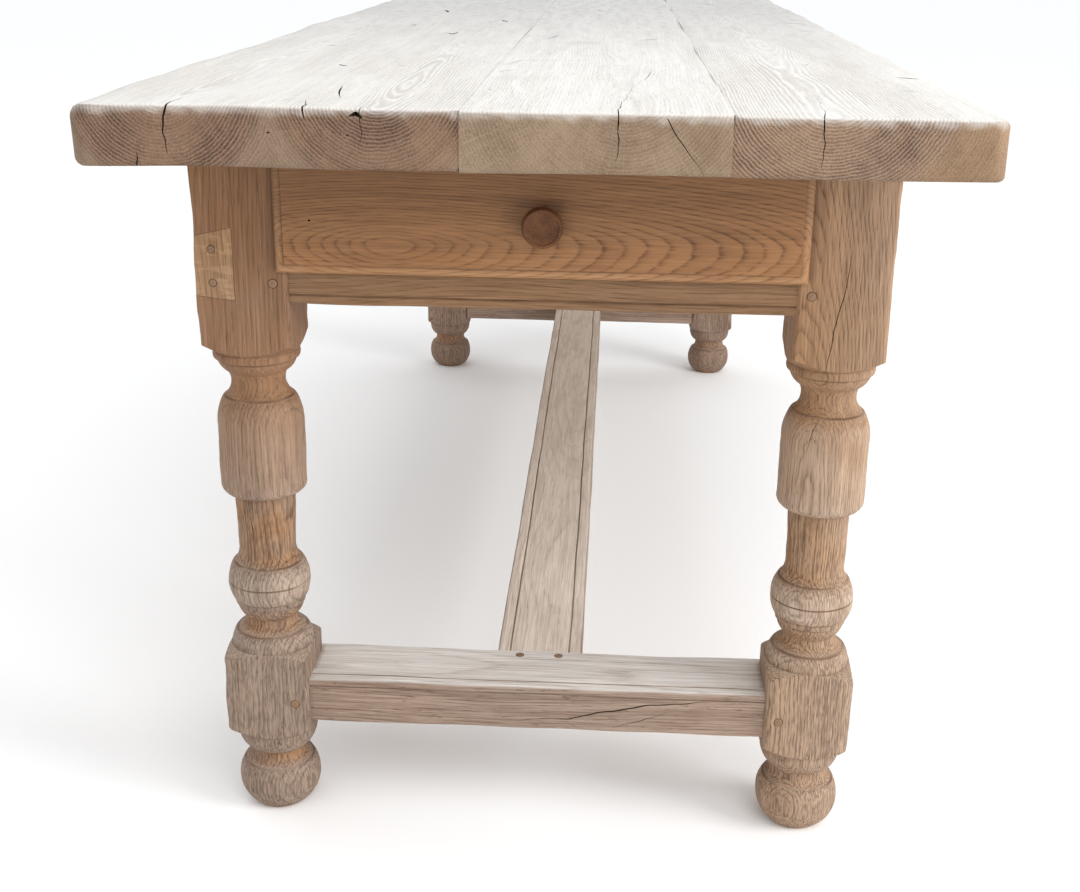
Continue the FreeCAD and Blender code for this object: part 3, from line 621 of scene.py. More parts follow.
def install(
    piece: bpy.types.Object, finish: bpy.types.Material, body: Body, slot: Slot, *nodes: str
) -> None:
    """Shades a finished piece and puts it on its body.

    Args:
        piece: Object with its final mesh.
        finish: Material that it wears.
        body: Body that it moves with.
        slot: Material slot of the record that it belongs to; not used.
        nodes: Nodes of the frame that it stands for.
    """
    piece.data.materials.clear()
    piece.data.materials.append(finish)
    piece.data.shade_smooth()
    piece.data.set_sharp_from_angle(angle=SHARP_ANGLE)
    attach(piece, body.value)
    if nodes:
        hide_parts(*nodes)
    LOG.info("%s: %d faces on the %s", piece.name, len(piece.data.polygons), body.value)


# Finishes


class Wiring:
    """Adds nodes to a tree and wires them up."""

    def __init__(self, tree: bpy.types.NodeTree) -> None:
        """Takes the tree to work on."""
        self.tree = tree

    def join(self, socket: Socket, value: Feed) -> None:
        """Links a socket to another one, or sets its value.

        Args:
            socket: Input to feed.
            value: Output to link, or a plain value.
        """
        if isinstance(value, bpy.types.NodeSocket):
            self.tree.links.new(value, socket)
        else:
            socket.default_value = (*value, 1.0) if isinstance(value, tuple) else value

    def add(self, kind: str, feeds: dict[str | int, Feed], **settings: str) -> bpy.types.bpy_prop_collection:
        """Adds a node.

        Args:
            kind: Type of the node.
            feeds: What each input gets, by its name or number.
            settings: Properties that are set first, as they may change the inputs.

        Returns:
            The outputs of the node.
        """
        node = self.tree.nodes.new(kind)
        for name, value in settings.items():
            setattr(node, name, value)
        for name, value in feeds.items():
            self.join(node.inputs[name], value)
        return node.outputs

    def calc(self, operation: str, *values: Value) -> Socket:
        """Adds a sum and gives its result."""
        return self.add("ShaderNodeMath", dict(enumerate(values)), operation=operation)[0]

    def pack(self, *values: Value) -> Socket:
        """Joins three numbers into a vector."""
        return self.add("ShaderNodeCombineXYZ", dict(enumerate(values)))[0]


class Paint(Wiring):
    """Builds the node tree of one material."""

    def __init__(self, name: str) -> None:
        """Starts a material with its shader.

        Args:
            name: Name of the material.
        """
        self.material = bpy.data.materials.new(name)
        self.material.use_nodes = True
        super().__init__(self.material.node_tree)

    def shade(self, name: str, value: Feed) -> None:
        """Feeds one input of the shader."""
        self.join(self.tree.nodes["Principled BSDF"].inputs[name], value)

    def relief(self, height: Socket, strength: float, distance: float) -> None:
        """Gives the shader a relief, in which a height of 1 stands for the distance."""
        feeds = {"Strength": strength, "Distance": distance, "Height": height}
        self.shade("Normal", self.add("ShaderNodeBump", feeds)["Normal"])

    def place(self) -> list[Socket]:
        """Gives the three object coordinates."""
        return list(self.add("ShaderNodeSeparateXYZ", {0: self.add("ShaderNodeTexCoord", {})["Object"]}))

    def noise(self, vector: Socket, scale: float, detail: float = 2.0, output: str = "Fac") -> Socket:
        """Adds a noise, with its features for each metre and its levels of detail."""
        return self.add("ShaderNodeTexNoise", {"Vector": vector, "Scale": scale, "Detail": detail})[output]

    def swing(self, value: Value, reach: Value) -> Socket:
        """Turns a noise between 0 and 1 into a move to both sides, up to the reach."""
        return self.calc("MULTIPLY", self.calc("MULTIPLY_ADD", value, 2.0, -1.0), reach)

    def smooth(self, value: Socket, low: float, high: float, most: float = 1.0) -> Socket:
        """Rises smoothly from 0 at the low value to the most at the high one."""
        feeds = {"Value": value, "From Min": low, "From Max": high, "To Max": most}
        return self.add("ShaderNodeMapRange", feeds, interpolation_type="SMOOTHSTEP")["Result"]

    def ramp(self, value: Socket, stops: Sequence[tuple[float, float]]) -> Socket:
        """Maps a value through grey stops.

        Args:
            value: Value to map.
            stops: Places and levels.

        Returns:
            The mapped value.
        """
        outputs = self.add("ShaderNodeValToRGB", {0: value})
        elements = outputs[0].node.color_ramp.elements
        while len(elements) < len(stops):
            elements.new(0.5)
        for element, (place, level) in zip(elements, stops):
            element.position = place
            element.color = (level, level, level, 1.0)
        return outputs[0]

    def mix(self, share: Value, first: Value | Colour, second: Value | Colour) -> Socket:
        """Mixes two colours, of which the second shows by the share."""
        return self.add("ShaderNodeMix", {0: share, 6: first, 7: second}, data_type="RGBA")[2]

    def painted(self, name: str) -> Socket:
        """Reads a number stored in the mesh."""
        return self.add("ShaderNodeAttribute", {}, attribute_name=name)["Fac"]


@dataclass(frozen=True)
class Flame:
    """Nested arches of a flat-sawn face, where the cut comes nearest to the pith."""

    centre: float
    low_slope: float
    high_slope: float
    lean: float = 1.5
    soft: float = 0.012
    quiet: float = 0.8


class Figure(Enum):
    """Darkness across one year's growth, as places and levels."""

    PORE_LINE = ((0.0, 0.9), (0.08, 1.0), (0.22, 0.4), (0.42, 0.1), (0.9, 0.0), (1.0, 0.55))
    PALE_LINE = ((0.0, 0.0), (0.12, 0.05), (0.35, 0.6), (0.6, 1.0), (0.85, 0.8), (1.0, 0.1))


class Streak(Enum):
    """Noises drawn out along the grain: stretch, features for each metre, and levels of detail."""

    BREAKS = (0.07, 620.0, 2.0)
    FADING = (0.2, 16.0, 2.0)
    FIBRE = (0.022, 620.0, 3.0)
    PORES = (0.06, 820.0, 1.0)
    WEATHER = (0.16, 560.0, 1.0)
    BLOTCHES = (0.05, 95.0, 2.0)
    BROAD = (0.12, 20.0, 2.0)
    PITS = (0.2, 480.0, 1.0)
    MOTTLING = (0.2, 70.0, 3.0)


class Cloud(Enum):
    """Noises without a direction: features for each metre, and levels of detail."""

    GRIT = (850.0, 1.0)
    GREY = (5.5, 4.0)
    PITS = (24.0, 2.0)
    WEAR = (38.0, 3.0)


@dataclass(frozen=True)
class Oak:
    """Finish of one piece of oak, as a solid figure of growth rings about its pith."""

    name: str
    grain: Axis
    piths: tuple[tuple[float, float], ...]
    light: Colour
    dark: Colour
    pore: Colour = (0.10, 0.058, 0.032)
    sap: Colour = (0.55, 0.42, 0.29)
    worn: Colour = (0.66, 0.52, 0.39)
    dirt_and_shade: Colour = (0.085, 0.052, 0.032)
    cleft: Colour = (0.075, 0.046, 0.03)
    grey: Colour = (0.46, 0.38, 0.31)
    bleached_and_lit: Colour = (0.80, 0.765, 0.71)
    bleached_and_lit_dark: Colour = (0.66, 0.61, 0.55)
    stain: Colour = (0.54, 0.545, 0.555)
    scoured: Colour = (0.36, 0.31, 0.26)
    sheltered: Colour = (0.34, 0.19, 0.098)
    figure: Figure = Figure.PORE_LINE
    ring: float = 4.2 * MM
    contrast: float = 0.5
    breaks: float = 0.7
    fading: float = 0.35
    base: float = 0.30
    fibre: float = 0.45
    pores: float = 0.7
    grit: float = 0.0
    rays: float = 0.0
    flecks: float = 0.0
    heart: float = 10.0
    wander: float = 12 * MM
    warp: float = 2.2 * MM
    anchor: float = -10.0
    flame: Flame | None = None
    blotch: float = 0.3
    broad: float = 0.3
    greyed: float = 0.3
    low_grey: float = 0.0
    far_shade: float = 0.0
    weather: float = 0.0
    pitted: float = 0.0
    worn_share: float = 0.5
    grime_and_shade_share: float = 0.88
    sap_edge: tuple[float, float] = (-7 * MM, 9 * MM)
    low_zone: tuple[float, float] = (0.50, 0.27)
    far_zone: tuple[float, float] = (-0.8, 0.6)
    rough: float = 0.68
    gloss: float = 0.16
    bump: float = 0.35
    bump_depth: float = 0.7 * MM
    seed: float = 0.0

    def material(self) -> bpy.types.Material:
        """Builds the oak as a node tree."""
        return Timber(self).dress()


class Timber(Paint):
    """Node tree of one oak, with the figure that its layers share."""

    def __init__(self, oak: Oak) -> None:
        """Starts the material and draws the figure.

        Args:
            oak: Finish to build.
        """
        super().__init__(oak.name)
        self.oak = oak
        self.spot = self.place()
        self.along, self.across, self.depth = (self.spot[number] for number in oak.grain.order())
        self.whole = self.pack(*self.spot)
        self.low = self.smooth(self.spot[2], *oak.low_zone)
        self.radius, self.angle = self.pith()
        self.early, self.season = self.rings()
        self.fibre = self.drawn(Streak.FIBRE)
        self.sapwood = self.smooth(self.radius, *(oak.heart + edge for edge in oak.sap_edge))
        pore = self.smooth(self.drawn(Streak.PORES), 0.56, 0.70)
        self.pore = self.calc("MULTIPLY", pore, self.calc("MULTIPLY_ADD", self.early, 0.7, 0.3))
        self.tone = self.darkness()

    def drawn(self, streak: Streak) -> Socket:
        """Gives a noise that is drawn out along the grain.

        Args:
            streak: Which noise is wanted.

        Returns:
            The noise.
        """
        stretch, scale, detail = streak.value
        vector = self.pack(self.calc("MULTIPLY", self.along, stretch), self.across, self.depth)
        return self.noise(vector, scale, detail)

    def strewn(self, cloud: Cloud) -> Socket:
        """Gives a noise that is alike in all directions."""
        return self.noise(self.whole, *cloud.value)

    def pith(self) -> tuple[Socket, Socket]:
        """Works out the distance from the nearest pith.

        Returns:
            The distance, and the angle about the first pith.
        """
        oak, calc, flame, along = self.oak, self.calc, self.oak.flame, self.along
        drift = self.noise(self.pack(along, oak.seed, 0.0), 2.3, 1.0, "Color")
        drift = self.add("ShaderNodeSeparateColor", {0: drift})
        from_anchor = calc("ABSOLUTE", calc("SUBTRACT", along, oak.anchor))
        hold = calc("MINIMUM", calc("MULTIPLY", from_anchor, 5.0), 1.0)
        reach = calc("MULTIPLY", hold, 2 * oak.wander)
        across = calc("ADD", self.across, self.swing(drift[0], reach))
        depth = calc("ADD", self.depth, self.swing(drift[1], reach))
        if flame:
            below = calc("MULTIPLY", calc("SUBTRACT", flame.centre, along), flame.low_slope)
            above = calc("MULTIPLY", calc("SUBTRACT", along, flame.centre), flame.high_slope)
            depth = calc("ADD", depth, calc("SMOOTH_MAX", below, above, flame.soft))
        nearest = None
        angle = None
        for pith_across, pith_depth in oak.piths:
            aside = calc("SUBTRACT", across, pith_across)
            if flame:
                aside = calc("MAXIMUM", calc("MULTIPLY", aside, flame.lean), calc("MULTIPLY", aside, -1.0))
            away = calc("SUBTRACT", depth, pith_depth)
            distance = calc("SQRT", calc("ADD", calc("MULTIPLY", aside, aside), calc("MULTIPLY", away, away)))
            angle = angle or calc("ARCTAN2", away, aside)
            nearest = calc("MINIMUM", nearest, distance) if nearest else distance
        place = self.pack(calc("MULTIPLY", along, 0.14), self.across, self.depth)
        rough = self.swing(self.noise(place, 26.0, 3.0), oak.warp)
        ripple = self.swing(self.noise(place, 120.0, 2.0), 0.4 * oak.warp)
        return calc("ADD", nearest, calc("ADD", rough, ripple)), angle

    def rings(self) -> tuple[Socket, Socket]:
        """Draws the bands of the yearly growth.

        Returns:
            How strong the early wood is, and a chance number for each year.
        """
        oak, calc = self.oak, self.calc
        uneven = self.noise(self.pack(self.radius, oak.seed, 0.3), 45.0, 1.0)
        year = calc("ADD", calc("DIVIDE", self.radius, oak.ring), self.swing(uneven, 0.6))
        band = self.ramp(calc("FRACT", year), oak.figure.value)
        broken = self.smooth(self.drawn(Streak.BREAKS), 0.36, 0.60)
        early = calc("MULTIPLY", band, calc("MULTIPLY_ADD", broken, oak.breaks, 1 - oak.breaks))
        faded = self.smooth(self.drawn(Streak.FADING), 0.36, 0.62)
        early = calc("MULTIPLY", early, calc("MULTIPLY_ADD", faded, oak.fading, 1 - oak.fading))
        if oak.flame:
            centre, quiet = oak.flame.centre, oak.flame.quiet
            strength = self.smooth(self.along, centre, centre + 0.25, 1 - quiet)
            early = calc("MULTIPLY", early, calc("ADD", strength, quiet))
        return early, self.noise(self.pack(calc("FLOOR", year), oak.seed, 0.7), 0.73, 0.0)

    def darkness(self) -> Socket:
        """Works out how dark the wood is, from its rings, fibres and blotches.

        Returns:
            The share of the dark colour.
        """
        oak, calc, along, low = self.oak, self.calc, self.along, self.low
        heartwood = calc("MULTIPLY_ADD", self.sapwood, -0.6 * oak.contrast, oak.contrast)
        tone = calc("ADD", calc("MULTIPLY", self.early, heartwood), self.swing(self.fibre, oak.fibre))
        if oak.weather:
            short = self.swing(self.drawn(Streak.WEATHER), calc("MULTIPLY", low, oak.weather))
            tone = calc("MULTIPLY_ADD", tone, calc("MULTIPLY_ADD", low, 0.6 * oak.weather, 1.0), short)
        swings = (
            (self.season, 0.16), (self.drawn(Streak.BLOTCHES), oak.blotch),
            (self.drawn(Streak.BROAD), oak.broad), (self.strewn(Cloud.GRIT), oak.grit),
        )
        for noise, reach in swings:
            if reach:
                tone = calc("ADD", tone, self.swing(noise, reach))
        if oak.rays:
            spokes = self.pack(calc("MULTIPLY", self.angle, 22.0), along, calc("MULTIPLY", self.radius, 6.0))
            tone = calc("SUBTRACT", tone, self.smooth(self.noise(spokes, 3.0), 0.56, 0.72, oak.rays))
        if oak.flecks:
            bars = self.pack(along, calc("MULTIPLY", self.across, 0.28), calc("MULTIPLY", self.depth, 0.28))
            tone = calc("SUBTRACT", tone, self.smooth(self.noise(bars, 210.0, 1.0), 0.54, 0.66, oak.flecks))
        return calc("MINIMUM", calc("MAXIMUM", calc("ADD", tone, oak.base), 0.0), 1.0)

    def wood(self) -> Socket:
        """Colours the wood with its sapwood and pores, greyed and pitted by the years.

        Returns:
            The colour.
        """
        oak, calc, mix, tone = self.oak, self.calc, self.mix, self.tone
        colour = mix(tone, oak.light, oak.dark)
        dim_sap = tuple(0.42 * value for value in oak.sap)
        colour = mix(calc("MULTIPLY", self.sapwood, 0.8), colour, mix(tone, oak.sap, dim_sap))
        colour = mix(calc("MULTIPLY", self.pore, oak.pores), colour, oak.pore)
        clouds = self.smooth(self.strewn(Cloud.GREY), 0.42, 0.72, oak.greyed)
        colour = mix(clouds, colour, mix(tone, oak.grey, oak.dark))
        if oak.low_grey:
            silver = mix(tone, oak.grey, tuple(0.45 * value for value in oak.grey))
            colour = mix(calc("MULTIPLY", self.low, oak.low_grey), colour, silver)
            colour = mix(self.painted("sheltered"), colour, mix(tone, oak.sheltered, oak.dark))
        if oak.pitted:
            pits = self.smooth(self.drawn(Streak.PITS), 0.60, 0.70, oak.pitted)
            pits = calc("MULTIPLY", pits, self.smooth(self.strewn(Cloud.PITS), 0.42, 0.62))
            colour = mix(calc("MULTIPLY", pits, self.low), colour, oak.pore)
        return colour

    def scrubbed_and_lit(self) -> Socket:
        """Colours the wood where it is bleached, and where light is painted on through the same layer.

        Returns:
            The colour.
        """
        oak, calc, mix = self.oak, self.calc, self.mix
        colour = mix(self.tone, oak.bleached_and_lit, oak.bleached_and_lit_dark)
        colour = mix(calc("MULTIPLY", self.pore, 0.5), colour, oak.scoured)
        # Painted shade: the wood greys and darkens towards the far end, and a mottled stain that shows
        # everywhere grows with it; the stain colour serves both this shade and the spilled stains.
        if oak.far_shade:
            far = self.smooth(self.spot[1], *oak.far_zone, oak.far_shade)
            mottled = self.smooth(self.drawn(Streak.MOTTLING), 0.46, 0.68, 0.45)
            share = calc("MULTIPLY_ADD", mottled, calc("ADD", far, 0.35), far)
            colour = mix(calc("MINIMUM", share, 1.0), colour, oak.stain)
            colour = mix(self.painted("stain"), colour, oak.stain)
        return colour

    def dress(self) -> bpy.types.Material:
        """Lays wear, bleach and dirt over the wood, with the painted light and shade that these layers also
        carry, and feeds the shader.

        Returns:
            The material.
        """
        oak, calc, mix = self.oak, self.calc, self.mix
        patchy = calc("MULTIPLY_ADD", self.strewn(Cloud.WEAR), 1.2, -0.1)
        wear = calc("MULTIPLY", self.painted("wear"), calc("MULTIPLY", patchy, oak.worn_share))
        colour = mix(wear, self.wood(), oak.worn)
        # The bleach layer carries real bleach and also painted light: the highlight along the drawer lip and
        # the side light on a leg.
        colour = mix(self.painted("bleach"), colour, self.scrubbed_and_lit())
        # The grime layer and the dirt colour carry real grime and also painted shade: on the drawer front
        # under the top, in its lip's groove, and on the legs beside the drawer lip.
        colour = mix(calc("MINIMUM", self.painted("grime"), oak.grime_and_shade_share), colour, oak.dirt_and_shade)
        self.shade("Base Color", mix(self.painted("split"), colour, oak.cleft))
        self.shade("Roughness", calc("ADD", oak.rough, self.swing(self.fibre, 0.14)))
        self.shade("Specular IOR Level", oak.gloss)
        height = calc("ADD", calc("MULTIPLY", self.early, -0.45), calc("MULTIPLY", self.fibre, 0.5))
        self.relief(calc("SUBTRACT", height, self.pore), oak.bump, oak.bump_depth)
        return self.material


@dataclass(frozen=True)
class Iron:
    """Finish of old forged nails and screws."""

    name: str = "old_iron"
    dark: Colour = (0.055, 0.05, 0.047)
    rust: Colour = (0.16, 0.085, 0.05)
    metal: float = 0.6
    rough: float = 0.62

    def material(self) -> bpy.types.Material:
        """Builds the iron as a node tree.

        Returns:
            The material.
        """
        wires = Paint(self.name)
        whole = wires.pack(*wires.place())
        spots = wires.smooth(wires.noise(whole, 420.0, 3.0), 0.45, 0.68)
        wires.shade("Base Color", wires.mix(spots, self.dark, self.rust))
        wires.shade("Metallic", self.metal)
        wires.shade("Roughness", wires.calc("MULTIPLY_ADD", spots, 0.25, self.rough - 0.1))
        wires.relief(wires.noise(whole, 650.0, 2.0), 0.4, 0.4 * MM)
        return wires.material


# The top's stain colour serves its spilled stains and the painted shade that greys its far end.
TOP_OAK = Oak(
    name="top_oak", grain=Axis.Y, piths=((0.0, 0.79),), light=(0.247, 0.147, 0.09),
    dark=(0.053, 0.027, 0.016), sap=(0.25, 0.17, 0.112), worn=(0.50, 0.42, 0.34), grey=(0.235, 0.18, 0.145),
    bleached_and_lit=(0.80, 0.78, 0.745), bleached_and_lit_dark=(0.57, 0.535, 0.49), scoured=(0.42, 0.37, 0.315),
    stain=(0.515, 0.51, 0.505), figure=Figure.PALE_LINE, ring=2.9 * MM, contrast=0.76, breaks=0.15,
    fading=0.6, base=0.14, fibre=0.45, pores=0.35, grit=0.45, heart=84 * MM, wander=9 * MM, warp=2.6 * MM,
    anchor=NEAR_END, blotch=0.22, broad=0.25, greyed=0.2, far_shade=0.6, rough=0.74, gloss=0.4,
)
LEG_OAK = Oak(
    name="leg_oak", grain=Axis.Z, piths=((0.0, 0.0),), light=(0.31, 0.176, 0.108),
    dark=(0.14, 0.076, 0.045), worn=(0.44, 0.31, 0.215), dirt_and_shade=(0.14, 0.075, 0.042), grey=(0.308, 0.25, 0.203),
    bleached_and_lit=(0.60, 0.48, 0.375), bleached_and_lit_dark=(0.345, 0.26, 0.195), ring=3.3 * MM, contrast=0.55, fibre=0.7,
    low_grey=0.7, weather=0.88, pitted=0.85, bump=0.5,
)
RAIL_OAK = Oak(
    name="rail_oak", grain=Axis.X, piths=((0.5, -0.80),), light=(0.272, 0.154, 0.081),
    dark=(0.12, 0.062, 0.03), worn=(0.36, 0.235, 0.14), grey=(0.24, 0.16, 0.108), bleached_and_lit=(0.42, 0.29, 0.19),
    bleached_and_lit_dark=(0.30, 0.20, 0.125), ring=3.2 * MM, contrast=0.5, fibre=0.6, bump=0.45,
)
STRETCHER_OAK = Oak(
    name="stretcher_oak", grain=Axis.X, piths=((0.06, -0.83),), light=(0.355, 0.258, 0.196),
    dark=(0.15, 0.093, 0.066), worn=(0.47, 0.38, 0.315), grey=(0.31, 0.253, 0.212),
    bleached_and_lit=(0.80, 0.77, 0.735), bleached_and_lit_dark=(0.42, 0.375, 0.335), ring=3.6 * MM, contrast=0.55,
    fibre=0.85, greyed=0.4, pitted=0.6, bump=0.45,
)
# On the drawer front the bleached colours show only as the painted highlight along the lip.
DRAWER_OAK = Oak(
    name="drawer_oak", grain=Axis.X, piths=((0.632, -0.8953),), light=(0.354, 0.174, 0.073),
    dark=(0.135, 0.058, 0.024), worn=(0.42, 0.235, 0.12), grey=(0.27, 0.145, 0.08),
    bleached_and_lit=(0.46, 0.285, 0.155), bleached_and_lit_dark=(0.27, 0.145, 0.072), ring=4.2 * MM, contrast=0.75,
    base=0.27, fibre=0.5, pores=0.6, wander=3 * MM, warp=2.4 * MM, blotch=0.2, greyed=0.1, rough=0.55,
    gloss=0.22, flame=Flame(centre=-0.143, low_slope=0.30, high_slope=0.22),
)
KNOB_OAK = Oak(
    name="knob_oak", grain=Axis.Y, piths=((0.03, 0.70),), light=(0.158, 0.061, 0.0215),
    dark=(0.05, 0.018, 0.006), worn=(0.23, 0.105, 0.045), ring=2.6 * MM, contrast=0.5, blotch=0.6, greyed=0.0,
    rough=0.48, gloss=0.22,
)
INNER_WOOD = Oak(
    name="inner_wood", grain=Axis.Y, piths=((0.35, 0.2),), light=(0.38, 0.265, 0.17),
    dark=(0.22, 0.14, 0.083), ring=4.4 * MM, contrast=0.4, rough=0.8,
)
PEG_OAK = Oak(
    name="peg_oak", grain=Axis.Y, piths=((0.0, 0.0),), light=(0.285, 0.175, 0.105), dark=(0.14, 0.08, 0.047),
    ring=1.6 * MM, contrast=0.6, rough=0.72, worn=(0.37, 0.245, 0.158), grey=(0.30, 0.20, 0.135),
)


# Sub-assemblies


@dataclass
class Plank:
    """One plank of the top, with its open splits."""

    node: str
    name: str
    finish: Oak
    seed: int
    outer: int
    end_shift: float = 0.0
    upper_round: float = 9 * MM
    lower_round: float = 5.5 * MM
    plan_round: float = 15 * MM
    joint_ease: float = 0.3 * MM
    splits: tuple[Split, ...] = ()
    stains: tuple[tuple[float, float, float, float], ...] = ()

    ROW_GAPS = (0, 0.17, 0.69, 1.52, 2.64, 4, 5.6, 7.2, 9, 11, 14, 18, 24, 32, 44, 60, 80, 105)
    ROW_STEP = 28 * MM
    SECTION_STEP = 7 * MM
    CAP_RINGS = (0.86, 0.68, 0.48, 0.28, 0.12, 0.03)

    @staticmethod
    def shrink(row: np.ndarray, share: float) -> np.ndarray:
        """Draws a smaller ring on an end face.

        Args:
            row: Outline of the end face.
            share: Height of the ring as a share of the outline's.

        Returns:
            The ring, inset equally on all sides.
        """
        low, high = row.min(axis=0), row.max(axis=0)
        middle, half = 0.5 * (low + high), 0.5 * (high - low)
        inset = (1 - share) * half[2]
        return middle + (row - middle) * np.array([(half[0] - inset) / half[0], 1.0, share])

    @staticmethod
    def drop(size: float, gap: float) -> float:
        """Gives how far a rounded edge falls away near its end."""
        return size - math.sqrt(max(size * size - max(size - gap, 0.0) ** 2, 0.0))

    def section(self, low: Vector, high: Vector, gap: float) -> Section:
        """Draws the plank's section near one end.

        Args:
            low: Lowest corner of the plank.
            high: Highest corner of the plank.
            gap: Distance from the nearest end.

        Returns:
            The section in x and z.
        """
        bottom = low.z + self.drop(self.lower_round, gap)
        top = high.z - self.drop(self.upper_round, gap)
        lower, upper = [], []
        for side, edge in ((-1, low.x), (1, high.x)):
            outside = side == self.outer
            x = edge - side * self.drop(self.plan_round, gap) if outside else edge
            lower.append((x, bottom, self.lower_round if outside else self.joint_ease))
            upper.append((x, top, self.upper_round if outside else self.joint_ease))
        return Section((*lower, *upper[::-1]), flat_step=self.SECTION_STEP)

    def build(self) -> None:
        """Lofts the plank, opens its splits and installs it."""
        low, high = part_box(self.node)
        gaps = np.array(self.ROW_GAPS) * MM
        inner = np.linspace(low.y + gaps[-1], high.y - gaps[-1], round((high.y - low.y) / self.ROW_STEP))
        rows_y = np.concatenate([low.y + gaps[:-1], inner, (high.y - gaps[:-1])[::-1]])
        count = len(self.section(low, high, 1.0).outline(1.0))
        rows = np.empty((len(rows_y), count, 3))
        for row, y in zip(rows, rows_y):
            shaped = self.section(low, high, min(y - low.y, high.y - y))
            swell = 1.0 + 0.25 * math.sin(y * 9.0 + self.seed) + 0.15 * math.sin(y * 31.0)
            row[:, 1] = y
            row[:, ::2] = self.fixed(shaped, count, swell)
        caps = [[self.shrink(row, share) for share in self.CAP_RINGS] for row in (rows[0], rows[-1])]
        points, faces = loft(np.concatenate([caps[0][::-1], rows, caps[1]]))
        self.unsettle(points, low, high)
        piece = model(self.name, points, faces)
        cut(piece, [split.blade() for split in self.splits])
        Ageing(top=1.0, side=0.35, rim=0.42, wear=0.6, grime=0.6).paint(piece)
        self.spill(piece)
        install(piece, self.finish.material(), Body.TABLE, Slot.TOP, self.node)

    def spill(self, piece: bpy.types.Object) -> None:
        """Paints the grey stains of the upper face.

        Args:
            piece: Plank with its final mesh.
        """
        places = numbers(piece.data.vertices, "co", 3)
        stained = np.zeros(len(places))
        for x, y, half_x, half_y in self.stains:
            away = np.hypot((places[:, 0] - x) / half_x, (places[:, 1] - y) / half_y)
            stained = np.maximum(stained, 0.4 * ease(-away, -1.4, -0.1))
        Ageing.write(piece.data, "stain", stained)

    @staticmethod
    def fixed(shaped: Section, count: int, swell: float) -> np.ndarray:
        """Draws a section with a fixed number of points.

        Args:
            shaped: Section to draw.
            count: Number of points.
            swell: Factor on the corner rounds.

        Returns:
            Points of the outline.
        """
        outline = shaped.outline(swell)
        if len(outline) == count:
            return outline
        ring = np.concatenate([outline, outline[:1]])
        reach = np.concatenate([[0.0], np.cumsum(np.linalg.norm(np.diff(ring, axis=0), axis=1))])
        places = np.linspace(0.0, reach[-1], count + 1)[:-1]
        return np.stack([np.interp(places, reach, ring[:, axis]) for axis in range(2)], axis=1)

    def unsettle(self, points: np.ndarray, low: Vector, high: Vector) -> None:
        """Gives the plank its uneven faces.

        Args:
            points: Points of the plank, changed in place.
            low: Lowest corner of the plank.
            high: Highest corner of the plank.
        """
        upper = ease(points[:, 2], low.z + 20 * MM, high.z - 6 * MM)
        points[:, 2] += upper * Wobble(self.seed, 0.45 * MM, 0.22).at(points)
        points[:, 2] += (1 - upper) * Wobble(self.seed + 1, 0.7 * MM, 0.25).at(points)
        if self.outer:
            rim = abs(high.x if self.outer > 0 else low.x)
            edge = ease(np.abs(points[:, 0]), rim - 40 * MM, rim)
            points[:, 0] -= self.outer * edge * (0.6 * MM + Wobble(self.seed + 2, 0.9 * MM, 0.3).at(points))
        near_end = ease(-points[:, 1], -low.y - 60 * MM, -low.y)
        far_end = ease(points[:, 1], high.y - 60 * MM, high.y)
        ragged = self.end_shift + 0.5 * MM + Wobble(self.seed + 3, 0.4 * MM, 0.09).at(points)
        points[:, 1] += (near_end - far_end) * ragged


SPLIT_START = NEAR_END - 4 * MM
CUT_LEVEL = TOP_LEVEL + 1.5 * MM
UPPER_FACE = TOP_LEVEL + 0.5 * MM
DOWN = (0.0, 0.0, -1.0)


def end_split(
    x: float, drift: Sequence[tuple[float, float]], width: float, depth: float, seed: int
) -> Split:
    """Describes a split that opens at the near end of the top.

    Args:
        x: Where it crosses the end.
        drift: Distance from the end and sideways place of each further point on the upper face.
        width: Width of the opening at the end.
        depth: Depth below the upper face at the end.
        seed: Seed of its waves.

    Returns:
        The split.
    """
    line = [(x, SPLIT_START, CUT_LEVEL)] + [(aside, NEAR_END + gap, CUT_LEVEL) for gap, aside in drift]
    share = np.linspace(1.0, 0.0, len(line))
    widths = tuple(float(max(width * value, 0.15 * MM)) for value in share ** 2.0)
    depths = tuple(float(max(depth * value, 0.6 * MM)) for value in share ** 1.2)
    return Split(tuple(line), DOWN, widths, depths, seed)


def top_slit(path: Sequence[tuple[float, float]], width: float, seed: int) -> Split:
    """Describes a short open crack or knot in the upper face.

    Args:
        path: Points along it.
        width: Greatest width.
        seed: Seed of its waves.

    Returns:
        The split.
    """
    shares = np.linspace(-1.0, 1.0, 7)
    reach = np.linspace(-1.0, 1.0, len(path))
    xs, ys = (np.interp(shares, reach, [point[axis] for point in path]) for axis in range(2))
    swell = np.maximum(1.0 - np.abs(shares) ** 1.6, 0.12)
    line = tuple((float(x), float(y), UPPER_FACE) for x, y in zip(xs, ys))
    widths, depths = tuple(width * swell), tuple(2.2 * width * swell + 0.6 * MM)
    return Split(line, DOWN, widths, depths, seed, wave=0.12 * width, stations=16)


